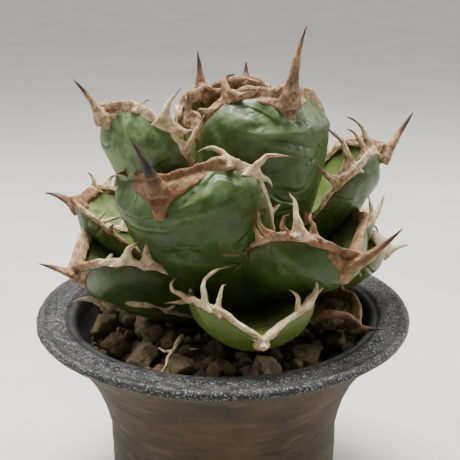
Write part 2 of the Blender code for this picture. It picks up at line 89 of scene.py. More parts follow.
def ease(share: Array | float) -> Array:
    """A smooth step from 0 to 1, flat at both ends."""
    held = np.clip(share, 0.0, 1.0)
    return held * held * (3.0 - 2.0 * held)


def towards_tip(count: int, start: float = 0.0) -> Array:
    """Shares from a start to 1 that gather where a leaf's tip closes.

    Args:
        count: How many shares.
        start: The first share.

    Returns:
        Rising shares that end at 1.
    """
    step = np.linspace(0.0, 1.0, count)
    gathered = 1.0 - (1.0 - step) ** 2.2
    return start + (1.0 - start) * (step * 0.45 + gathered * 0.55 if start < 0.5 else gathered)


def bow(start: Array, bend: Array, end: Array, share: Array | float) -> Array:
    """Points on a curve that leaves its start towards a bend and comes to its end from it.

    Args:
        start: Where the curve starts.
        bend: The corner that pulls it.
        end: Where it ends.
        share: Shares of the way, shaped to go with the points.

    Returns:
        The points.
    """
    return (start * (1 - share) + bend * share) * (1 - share) + (bend * (1 - share) + end * share) * share


def follow(line: Array, place: Array) -> Array:
    """Points on a line at places counted in its own points."""
    knots = np.arange(len(line))
    return np.stack([np.interp(place, knots, line[:, axis]) for axis in range(3)], -1)


def full_turn(count: int) -> Array:
    """Angles all the way round, in radians, with no angle twice."""
    return np.linspace(0.0, math.tau, count, endpoint=False)


def lathe(radius: Array, turn: Array, height: Array) -> Array:
    """Points round the upright axis from radii, angles and heights."""
    return np.stack([radius * np.cos(turn), radius * np.sin(turn), height], axis=-1)


def numbered(rows: int, sides: int) -> Array:
    """Point numbers of a stack of rings."""
    return np.arange(rows * sides).reshape(rows, sides)


def between_rings(number: Array, along_first: bool = True) -> Array:
    """Four-sided faces between rings of points.

    Args:
        number: Point numbers, one row for each closed ring.
        along_first: Whether a face's first edge runs from ring to ring; if not, the faces look the other way.

    Returns:
        One row of four point numbers for each face.
    """
    after = np.roll(number, -1, axis=1)
    if along_first:
        return np.stack([number[:-1], number[1:], after[1:], after[:-1]], -1).reshape(-1, 4)
    return np.stack([number[:-1], after[:-1], after[1:], number[1:]], -1).reshape(-1, 4)


def lattice(corner: Array, seed: int) -> Array:
    """A fixed random value from 0 to 1 for each whole-number corner of space.

    Args:
        corner: Whole-number coordinates, one row for each corner.
        seed: Which of the fixed patterns to use.

    Returns:
        One value for each row.
    """
    key = corner[..., 0] * 374761393 + corner[..., 1] * 668265263
    key = (key + corner[..., 2] * 1440662683 + seed * 1274126177) & 0xFFFFFFFF
    key = ((key ^ (key >> 13)) * 1274126177) & 0xFFFFFFFF
    return ((key ^ (key >> 16)) & 0xFFFF) / 65535.0


def noise(points: Array, size: float, seed: int, octaves: int = 1) -> Array:
    """Smooth noise from -1 to 1 over points in space.

    Args:
        points: Rows of three coordinates in millimetres.
        size: Width of the largest lumps in millimetres.
        seed: Which of the fixed patterns to use.
        octaves: How many layers of ever finer lumps are summed.

    Returns:
        One value for each point.
    """
    total = np.zeros(points.shape[:-1])
    weight = 1.0
    summed = 0.0
    for octave in range(octaves):
        scaled = points / size * 2.0**octave
        base = np.floor(scaled).astype(np.int64)
        part = ease(scaled - base)
        value = np.zeros(points.shape[:-1])
        for corner in range(8):
            step = np.array([corner & 1, corner >> 1 & 1, corner >> 2 & 1])
            share = np.prod(np.where(step == 1, part, 1.0 - part), axis=-1)
            value += share * lattice(base + step, seed + octave * 31)
        total += weight * (value * 2.0 - 1.0)
        summed += weight
        weight *= 0.5
    return total / summed


def mesh_piece(
    name: str,
    points: Array,
    faces: list,
    materials: list,
    face_slots: Array | None = None,
    values: dict[str, Array] | None = None,
    uv: Array | None = None,
) -> bpy.types.Object:
    """An object at the origin from points in millimetres.

    Args:
        name: The object's name.
        points: Rows of three coordinates in millimetres.
        faces: Lists of point numbers.
        materials: The object's materials in slot order.
        face_slots: Material slot number of each face.
        values: Named values for each point.
        uv: Rows of two map coordinates for each point.

    Returns:
        The new object, linked to the scene and shaded smooth.
    """
    mesh = bpy.data.meshes.new(name)
    mesh.from_pydata((points * MM).tolist(), [], faces)
    for material in materials:
        mesh.materials.append(material)
    if face_slots is not None:
        mesh.polygons.foreach_set("material_index", face_slots.astype(np.int32))
    for key, value in (values or {}).items():
        layer = mesh.attributes.new(key, "FLOAT", "POINT")
        layer.data.foreach_set("value", value.astype(np.float32))
    if uv is not None:
        corner = np.zeros(len(mesh.loops), np.int32)
        mesh.loops.foreach_get("vertex_index", corner)
        mesh.uv_layers.new(name="blade_map").data.foreach_set("uv", uv[corner].astype(np.float32).ravel())
    mesh.shade_smooth()
    mesh.update()
    obj = bpy.data.objects.new(name, mesh)
    bpy.context.scene.collection.objects.link(obj)
    return obj


def arrays_of(obj: bpy.types.Object) -> tuple[Array, Array, list]:
    """Points in millimetres, their normals and the faces of an object as it is evaluated.

    Args:
        obj: A mesh object whose place is in its mesh.

    Returns:
        Points, normals and faces.
    """
    graph = bpy.context.evaluated_depsgraph_get()
    mesh = bpy.data.meshes.new_from_object(obj.evaluated_get(graph))
    count = len(mesh.vertices)
    points = np.zeros(count * 3, np.float32)
    normals = np.zeros(count * 3, np.float32)
    mesh.vertices.foreach_get("co", points)
    mesh.vertex_normals.foreach_get("vector", normals)
    faces = [list(polygon.vertices) for polygon in mesh.polygons]
    bpy.data.meshes.remove(mesh)
    return points.reshape(-1, 3).astype(float) / MM, normals.reshape(-1, 3).astype(float), faces


# ---------------------------------------------------------------- shader wiring


class Wiring:
    """Short-hand for building one node tree."""

    def __init__(self, tree: bpy.types.NodeTree) -> None:
        """Keeps the tree that nodes are added to."""
        self.tree = tree

    def put(self, kind: str, sockets: dict | None = None, **settings: object) -> bpy.types.Node:
        """Adds a node.

        Args:
            kind: The node's type name.
            sockets: Input name or number to a value, or to a socket to link from.
            **settings: Properties of the node itself.

        Returns:
            The new node.
        """
        node = self.tree.nodes.new(kind)
        for key, value in settings.items():
            setattr(node, key, value)
        for key, value in (sockets or {}).items():
            target = node.inputs[key]
            if isinstance(value, bpy.types.NodeSocket):
                self.tree.links.new(value, target)
            else:
                target.default_value = value
        return node

    def math(self, operation: str, first: object, second: object = 0.0) -> bpy.types.NodeSocket:
        """The result of a Math node."""
        return self.put("ShaderNodeMath", {0: first, 1: second}, operation=operation).outputs[0]

    def times(self, first: object, second: object) -> bpy.types.NodeSocket:
        """The product of two values."""
        return self.math("MULTIPLY", first, second)

    def plus(self, first: object, second: object) -> bpy.types.NodeSocket:
        """The sum of two values."""
        return self.math("ADD", first, second)

    def minus(self, first: object, second: object) -> bpy.types.NodeSocket:
        """The first value less the second."""
        return self.math("SUBTRACT", first, second)

    def mix(self, share: object, first: object, second: object) -> bpy.types.NodeSocket:
        """A colour between two colours."""
        node = self.put("ShaderNodeMix", data_type="RGBA")
        for key, value in ((0, share), (6, first), (7, second)):
            if isinstance(value, bpy.types.NodeSocket):
                self.tree.links.new(value, node.inputs[key])
            else:
                node.inputs[key].default_value = value
        return node.outputs[2]

    def cloud(self, vector: object, scale: object, **others: float) -> bpy.types.NodeSocket:
        """Soft noise from 0 to 1, with its other inputs by name."""
        return self.put("ShaderNodeTexNoise", {"Vector": vector, "Scale": scale, **others}).outputs[0]

    def ramp(self, share: object, stops: list[tuple[float, Triple]]) -> bpy.types.NodeSocket:
        """A colour read from a ramp.

        Args:
            share: The socket that says where on the ramp.
            stops: Places from 0 to 1 and their colours.

        Returns:
            The colour socket.
        """
        node = self.put("ShaderNodeValToRGB", {0: share})
        ends = node.color_ramp.elements
        while len(ends) < len(stops):
            ends.new(0.5)
        for end, (place, color) in zip(ends, stops):
            end.position = place
            end.color = (*color, 1.0)
        return node.outputs[0]

    def spread(self, share: object, low: float, high: float) -> bpy.types.NodeSocket:
        """A value from 0 to 1 that rises smoothly between two limits."""
        node = self.put("ShaderNodeMapRange", {0: share, 1: low, 2: high}, interpolation_type="SMOOTHSTEP")
        return node.outputs[0]


class SharedEffects:
    """Node groups that more than one finish uses."""

    def __init__(self) -> None:
        """Builds the three groups once."""
        self.patches = self._patches()
        self.grain = self._grain()
        self.dust = self._dust()

    @staticmethod
    def _group(name: str, inputs: dict[str, float], outputs: tuple[str, ...]) -> tuple:
        """A new group with a vector input, value inputs and value outputs.

        Args:
            name: The group's name.
            inputs: Value inputs and their defaults.
            outputs: Names of the value outputs.

        Returns:
            The tree, its wiring, and its input and output nodes.
        """
        tree = bpy.data.node_groups.new(name, "ShaderNodeTree")
        tree.interface.new_socket("Vector", in_out="INPUT", socket_type="NodeSocketVector")
        for key, value in inputs.items():
            socket = tree.interface.new_socket(key, in_out="INPUT", socket_type="NodeSocketFloat")
            socket.default_value = value
        for key in outputs:
            tree.interface.new_socket(key, in_out="OUTPUT", socket_type="NodeSocketFloat")
        wiring = Wiring(tree)
        return tree, wiring, wiring.put("NodeGroupInput"), wiring.put("NodeGroupOutput")

    def _patches(self) -> bpy.types.NodeTree:
        """Soft blotches: a mask that is 1 inside a blotch."""
        inputs = {"Scale": 100.0, "Low": 0.45, "High": 0.65}
        tree, wiring, start, end = self._group("soft_patches", inputs, ("Mask",))
        cloud = wiring.cloud(start.outputs["Vector"], start.outputs["Scale"], Detail=5.0, Roughness=0.6)
        mask = wiring.put(
            "ShaderNodeMapRange",
            {0: cloud, 1: start.outputs["Low"], 2: start.outputs["High"]},
            interpolation_type="SMOOTHSTEP",
        )
        tree.links.new(mask.outputs[0], end.inputs["Mask"])
        return tree

    def _grain(self) -> bpy.types.NodeTree:
        """Fine grain: a height, and a mask of scattered specks."""
        inputs = {"Scale": 900.0, "Speck Scale": 500.0, "Speck Size": 0.2}
        tree, wiring, start, end = self._group("fine_grain", inputs, ("Height", "Specks"))
        cloud = wiring.cloud(start.outputs["Vector"], start.outputs["Scale"], Detail=6.0, Roughness=0.7)
        cells = wiring.put(
            "ShaderNodeTexVoronoi", {"Vector": start.outputs["Vector"], "Scale": start.outputs["Speck Scale"]}
        )
        specks = wiring.math("LESS_THAN", cells.outputs["Distance"], start.outputs["Speck Size"])
        tree.links.new(cloud, end.inputs["Height"])
        tree.links.new(specks, end.inputs["Specks"])
        return tree

    def _dust(self) -> bpy.types.NodeTree:
        """Dust that settles on what faces up: a mask."""
        inputs = {"Scale": 250.0, "Amount": 0.5}
        tree, wiring, start, end = self._group("settled_dust", inputs, ("Mask",))
        normal = wiring.put("ShaderNodeNewGeometry").outputs["Normal"]
        upward = wiring.put("ShaderNodeSeparateXYZ", {0: normal}).outputs["Z"]
        facing = wiring.spread(upward, 0.1, 0.95)
        cloud = wiring.cloud(start.outputs["Vector"], start.outputs["Scale"], Detail=6.0)
        lumpy = wiring.spread(cloud, 0.35, 0.65)
        amount = wiring.times(wiring.times(facing, lumpy), start.outputs["Amount"])
        tree.links.new(amount, end.inputs["Mask"])
        return tree


class Finish:
    """Base of every finish: one material with one Principled shader."""

    name = "finish"
    roughness = 0.6

    def __init__(self, effects: SharedEffects) -> None:
        """Builds the material.

        Args:
            effects: The node groups that finishes share.
        """
        self.effects = effects
        self.material = bpy.data.materials.new(self.name)
        self.material.use_nodes = True
        self.wiring = Wiring(self.material.node_tree)
        self.shader = self.material.node_tree.nodes["Principled BSDF"]
        self.shader.inputs["Roughness"].default_value = self.roughness
        self.place = self.wiring.put("ShaderNodeTexCoord").outputs["Object"]
        self.dress()

    def dress(self) -> None:
        """Adds the finish's own nodes."""

    def to(self, socket: str, source: bpy.types.NodeSocket) -> None:
        """Links a socket to one of the shader's inputs."""
        self.wiring.tree.links.new(source, self.shader.inputs[socket])

    def group(self, tree: bpy.types.NodeTree, vector: object = None, **values: float) -> bpy.types.Node:
        """Places a shared node group.

        Args:
            tree: The group.
            vector: Coordinates for it; the object's own if left out.
            **values: Its inputs, with _ for a space.

        Returns:
            The group node.
        """
        sockets = {key.replace("_", " "): value for key, value in values.items()}
        sockets["Vector"] = vector or self.place
        node = self.wiring.put("ShaderNodeGroup", node_tree=tree)
        for key, value in sockets.items():
            if isinstance(value, bpy.types.NodeSocket):
                self.wiring.tree.links.new(value, node.inputs[key])
            else:
                node.inputs[key].default_value = value
        return node

    def bump(self, height: bpy.types.NodeSocket, depth: float, under: object = None) -> bpy.types.NodeSocket:
        """A bumped normal.

        Args:
            height: Height from 0 to 1.
            depth: Depth in metres of a height of 1.
            under: The normal of a coarser bump below this one.

        Returns:
            The normal socket.
        """
        sockets = {"Height": height, "Distance": depth, "Strength": 1.0}
        if under is not None:
            sockets["Normal"] = under
        return self.wiring.put("ShaderNodeBump", sockets).outputs[0]

    def stretched(self, vector: object, scale: Triple) -> bpy.types.NodeSocket:
        """Coordinates scaled by their own amount on each axis."""
        return self.wiring.put("ShaderNodeMapping", {"Vector": vector, "Scale": scale}).outputs[0]

    def attribute(self, key: str) -> bpy.types.NodeSocket:
        """The value of one of the mesh's own attributes."""
        return self.wiring.put("ShaderNodeAttribute", attribute_name=key).outputs["Fac"]


class SkinFinish(Finish):
    """Leaf skin: green under a thin grey wax whose paleness is partly painted top light, paler and yellower
    on the inner face and at the root.
    """

    name = "waxy_leaf_skin"
    roughness = 0.5
    green: Triple = (0.041, 0.092, 0.013)
    deep: Triple = (0.016, 0.032, 0.005)
    lime: Triple = (0.205, 0.255, 0.03)
    wax_and_top_light: Triple = (0.165, 0.245, 0.09)
    rust: Triple = (0.13, 0.085, 0.03)

    def dress(self) -> None:
        """Greens by place on the leaf, then wax with painted top light, streaks, specks and skin grain."""
        w = self.wiring
        along = self.attribute("along")
        inner = self.attribute("inner")
        edge = self.attribute("edge")
        low = self.group(self.effects.patches, Scale=38.0, Low=0.3, High=0.75).outputs[0]
        fine = self.group(self.effects.patches, Scale=260.0, Low=0.35, High=0.7).outputs[0]
        body = w.mix(low, (*self.deep, 1), (*self.green, 1))
        root = w.spread(along, 0.5, 0.05)
        young = self.attribute("young")
        fresh = w.plus(w.times(inner, 0.45), w.times(young, 0.8))
        limed = w.math("MINIMUM", w.times(w.plus(root, fresh), 0.66), 0.9)
        body = w.mix(limed, body, (*self.lime, 1))
        lanes = self.stretched(w.put("ShaderNodeUVMap", uv_map="blade_map").outputs[0], (0.9, 0.045, 1.0))
        streak = w.cloud(lanes, 1.0, Detail=4.0)
        body = w.mix(w.times(w.spread(streak, 0.5, 0.72), 0.10), body, (*self.deep, 1))
        # Pale bloom rising towards the tip and scaled by each leaf's amount: partly real wax, partly painted
        # top light that makes upper leaves and tips paler and low bellies darker.
        bloom_and_top_light = w.spread(along, 0.05, 0.85)
        bloom_and_top_light = w.times(bloom_and_top_light, w.plus(w.times(fine, 0.24), 0.07))
        bloom_and_top_light = w.times(bloom_and_top_light, w.minus(1.0, w.times(young, 0.7)))
        bloom_and_top_light = w.math("MINIMUM", w.times(bloom_and_top_light, self.attribute("waxed_and_top_lit")), 1.0)
        body = w.mix(bloom_and_top_light, body, (*self.wax_and_top_light, 1))
        body = w.mix(w.times(self.attribute("crease"), 0.45), body, (*self.wax_and_top_light, 1))
        rusty = w.times(w.spread(edge, 0.86, 1.0), w.plus(w.times(low, 0.4), 0.15))
        body = w.mix(rusty, body, (*self.rust, 1))
        grain = self.group(self.effects.grain, Scale=1500.0, Speck_Scale=420.0, Speck_Size=0.12)
        body = w.mix(w.times(grain.outputs["Specks"], 0.35), body, (*self.wax_and_top_light, 1))
        dust = self.group(self.effects.dust, Scale=420.0, Amount=0.16).outputs[0]
        body = w.mix(dust, body, (0.5, 0.47, 0.4, 1))
        self.to("Base Color", body)
        rough = w.plus(0.30, w.plus(w.times(fine, 0.12), w.times(bloom_and_top_light, 0.3)))
        self.to("Roughness", rough)
        streaks = w.cloud(lanes, 0.8, Detail=6.0)
        sway = w.cloud(self.place, 120.0, Detail=1.5)
        rows = self.stretched(w.put("ShaderNodeUVMap", uv_map="blade_map").outputs[0], (0.045, 0.085, 1.0))
        swirl = w.cloud(rows, 1.0, Detail=0.6, Distortion=0.5)
        line = w.spread(w.math("ABSOLUTE", w.minus(swirl, 0.5)), 0.055, 0.0)
        wrinkle = w.times(w.times(line, w.spread(low, 0.25, 0.8)), w.minus(1.0, inner))
        first = self.bump(wrinkle, 0.0007, self.bump(sway, 0.0012))
        first = self.bump(streaks, 0.00012, first)
        self.to("Normal", self.bump(grain.outputs["Height"], 0.00005, first))
        self.shader.inputs["Specular IOR Level"].default_value = 0.31
        self.shader.inputs["Subsurface Weight"].default_value = 0.06
        self.shader.inputs["Subsurface Radius"].default_value = (0.4, 0.9, 0.25)
        self.shader.inputs["Subsurface Scale"].default_value = 0.002


class HornFinish(Finish):
    """Horn of the margins, teeth and spines: cream to brown with near-black points, split into fibres."""

    name = "leaf_horn"
    roughness = 0.62

    def dress(self) -> None:
        """Colour by age and by nearness to a point, then stains, fibres and pits."""
        w = self.wiring
        tip = self.attribute("tip")
        age = self.attribute("age")
        patch = self.group(self.effects.patches, Scale=170.0, Low=0.3, High=0.7).outputs[0]
        stain = self.group(self.effects.patches, Scale=620.0, Low=0.42, High=0.66).outputs[0]
        cream = w.mix(patch, (0.46, 0.30, 0.14, 1), (0.84, 0.70, 0.46, 1))
        tan = w.mix(patch, (0.085, 0.030, 0.009, 1), (0.33, 0.160, 0.048, 1))
        worn = w.plus(age, w.times(w.minus(stain, 0.5), 0.28))
        base = w.mix(w.spread(worn, 0.15, 0.9), cream, tan)
        base = w.mix(w.times(stain, 0.22), base, (0.17, 0.075, 0.025, 1))
        base = w.mix(w.spread(age, 1.05, 1.45), base, (0.045, 0.02, 0.010, 1))
        dark = w.plus(tip, w.times(w.minus(patch, 0.5), 0.22))
        base = w.mix(w.times(w.spread(dark, 0.22, 0.66), 0.92), base, (0.050, 0.0175, 0.008, 1))
        base = w.mix(w.spread(dark, 0.72, 1.0), base, (0.012, 0.0065, 0.005, 1))
        fibres = w.put("ShaderNodeAttribute", attribute_name="fibre").outputs["Vector"]
        lines = self.stretched(fibres, (0.12, 1.9, 1.9))
        strand = w.cloud(lines, 1.0, Detail=5.0)
        base = w.mix(w.times(w.spread(strand, 0.55, 0.35), 0.45), base, (0.13, 0.07, 0.035, 1))
        self.to("Base Color", base)
        self.to("Roughness", w.plus(0.42, w.times(strand, 0.45)))
        grain = self.group(self.effects.grain, Scale=1400.0, Speck_Scale=700.0, Speck_Size=0.1)
        first = self.bump(strand, 0.0006)
        self.to("Normal", self.bump(grain.outputs["Height"], 0.0002, first))


class ClayFinish(Finish):
    """Pot: charcoal, silver-flecked glaze on the rim, bare scratched brown-grey clay on the body."""

    name = "fired_clay"
    roughness = 0.6

    def dress(self) -> None:
        """Bare clay with streaks and pits, then glaze where the rim's mask says."""
        w = self.wiring
        glazed = self.attribute("glazed")
        grit_and_bead_highlight = self.attribute("gritty")
        patch = self.group(self.effects.patches, Scale=30.0, Low=0.3, High=0.7).outputs[0]
        spot = self.group(self.effects.patches, Scale=190.0, Low=0.4, High=0.68).outputs[0]
        grain = self.group(self.effects.grain, Scale=900.0, Speck_Scale=1250.0, Speck_Size=0.4)
        clay = w.mix(patch, (0.030, 0.022, 0.0145, 1), (0.090, 0.062, 0.036, 1))
        lanes = self.stretched(self.place, (55.0, 55.0, 420.0))
        scratch = w.cloud(lanes, 1.0, Detail=7.0, Roughness=0.75)
        clay = w.mix(w.times(w.spread(scratch, 0.52, 0.66), 0.5), clay, (0.14, 0.112, 0.08, 1))
        clay = w.mix(w.times(w.spread(scratch, 0.47, 0.36), 0.6), clay, (0.018, 0.015, 0.012, 1))
        clay = w.mix(w.times(spot, 0.3), clay, (0.12, 0.08, 0.045, 1))
        glaze = w.mix(spot, (0.009, 0.0095, 0.0105, 1), (0.024, 0.0255, 0.027, 1))
        flecks = w.times(grain.outputs["Specks"], w.spread(grain.outputs["Height"], 0.44, 0.56))
        # More bright flecks on the grit band and the rolled edge: real glaze specks, with a painted highlight
        # along the edge.
        amount = w.plus(0.15, w.times(grit_and_bead_highlight, 0.65))
        glaze = w.mix(w.times(flecks, amount), glaze, (0.33, 0.34, 0.34, 1))
        pits = w.times(w.spread(grain.outputs["Height"], 0.46, 0.38), grit_and_bead_highlight)
        glaze = w.mix(pits, glaze, (0.008, 0.008, 0.009, 1))
        color = w.mix(glazed, clay, glaze)
        dust = self.group(self.effects.dust, Scale=300.0, Amount=0.12).outputs[0]
        self.to("Base Color", w.mix(dust, color, (0.22, 0.205, 0.18, 1)))
        bare = w.plus(0.68, w.times(spot, 0.14))
        sheen = w.minus(0.47, w.times(flecks, 0.15))
        self.shader.inputs["Specular IOR Level"].default_value = 0.32
        rough = w.put("ShaderNodeMix", {0: glazed, 2: bare, 3: sheen}, data_type="FLOAT").outputs[0]
        self.to("Roughness", rough)
        self.to("Metallic", w.times(w.times(flecks, glazed), 0.35))
        first = self.bump(scratch, 0.0007)
        self.to("Normal", self.bump(grain.outputs["Height"], 0.0005, first))


class GravelFinish(Finish):
    """Porous volcanic gravel in browns, tans and a few greys, each stone with its own tint."""

    name = "volcanic_gravel"
    roughness = 0.9

    def dress(self) -> None:
        """Tint by stone, then blotches, pores and dust."""
        w = self.wiring
        tint = self.attribute("tint")
        stone = w.ramp(
            tint,
            [
                (0.0, (0.17, 0.105, 0.046)), (0.3, (0.30, 0.20, 0.082)), (0.55, (0.42, 0.30, 0.135)),
                (0.8, (0.62, 0.48, 0.25)), (1.0, (0.28, 0.235, 0.16)),
            ],
        )
        patch = self.group(self.effects.patches, Scale=320.0, Low=0.35, High=0.68).outputs[0]
        grain = self.group(self.effects.grain, Scale=1700.0, Speck_Scale=900.0, Speck_Size=0.22)
        stone = w.mix(w.times(patch, 0.4), stone, (0.11, 0.07, 0.035, 1))
        stone = w.mix(w.times(grain.outputs["Specks"], 0.45), stone, (0.03, 0.022, 0.017, 1))
        dust = self.group(self.effects.dust, Scale=600.0, Amount=0.32).outputs[0]
        self.to("Base Color", w.mix(dust, stone, (0.33, 0.25, 0.15, 1)))
        first = self.bump(patch, 0.001)
        self.to("Normal", self.bump(grain.outputs["Height"], 0.0013, first))


class SoilFinish(Finish):
    """Dark damp grit under the gravel."""

    name = "damp_grit"
    roughness = 0.95

    def dress(self) -> None:
        """Near-black crumbs with a few pale grains."""
        w = self.wiring
        grain = self.group(self.effects.grain, Scale=700.0, Speck_Scale=500.0, Speck_Size=0.16)
        patch = self.group(self.effects.patches, Scale=260.0, Low=0.4, High=0.7).outputs[0]
        soil = w.mix(patch, (0.028, 0.021, 0.014, 1), (0.075, 0.057, 0.036, 1))
        soil = w.mix(w.times(grain.outputs["Specks"], 0.5), soil, (0.14, 0.11, 0.08, 1))
        self.to("Base Color", soil)
        self.to("Normal", self.bump(grain.outputs["Height"], 0.0015))


class BarkFinish(Finish):
    """Woody stem and dry roots."""

    name = "dry_bark"
    roughness = 0.85

    def dress(self) -> None:
        """Brown with pale flakes."""
        w = self.wiring
        patch = self.group(self.effects.patches, Scale=300.0, Low=0.4, High=0.65).outputs[0]
        grain = self.group(self.effects.grain, Scale=800.0, Speck_Scale=500.0, Speck_Size=0.2)
        self.to("Base Color", w.mix(patch, (0.10, 0.065, 0.04, 1), (0.38, 0.30, 0.21, 1)))
        self.to("Normal", self.bump(grain.outputs["Height"], 0.0008))


class NetFinish(Finish):
    """Moulded black plastic net with a scuffed surface."""

    name = "net_plastic"
    roughness = 0.5

    def dress(self) -> None:
        """Black with scuffs."""
        w = self.wiring
        scuff = self.group(self.effects.patches, Scale=500.0, Low=0.5, High=0.7).outputs[0]
        self.to("Base Color", w.mix(scuff, (0.014, 0.014, 0.015, 1), (0.05, 0.048, 0.045, 1)))
        self.to("Roughness", w.plus(0.4, w.times(scuff, 0.3)))
        self.to("Normal", self.bump(scuff, 0.0001))


@dataclass(frozen=True)
class Finishes:
    """Every finish of the object, each built once."""

    skin: SkinFinish
    horn: HornFinish
    clay: ClayFinish
    gravel: GravelFinish
    soil: SoilFinish
    bark: BarkFinish
    net: NetFinish

    @classmethod
    def build(cls) -> "Finishes":
        """All the finishes, on one set of shared effects."""
        effects = SharedEffects()
        kinds = (SkinFinish, HornFinish, ClayFinish, GravelFinish, SoilFinish, BarkFinish, NetFinish)
        return cls(*(kind(effects) for kind in kinds))


# ---------------------------------------------------------------- the pot


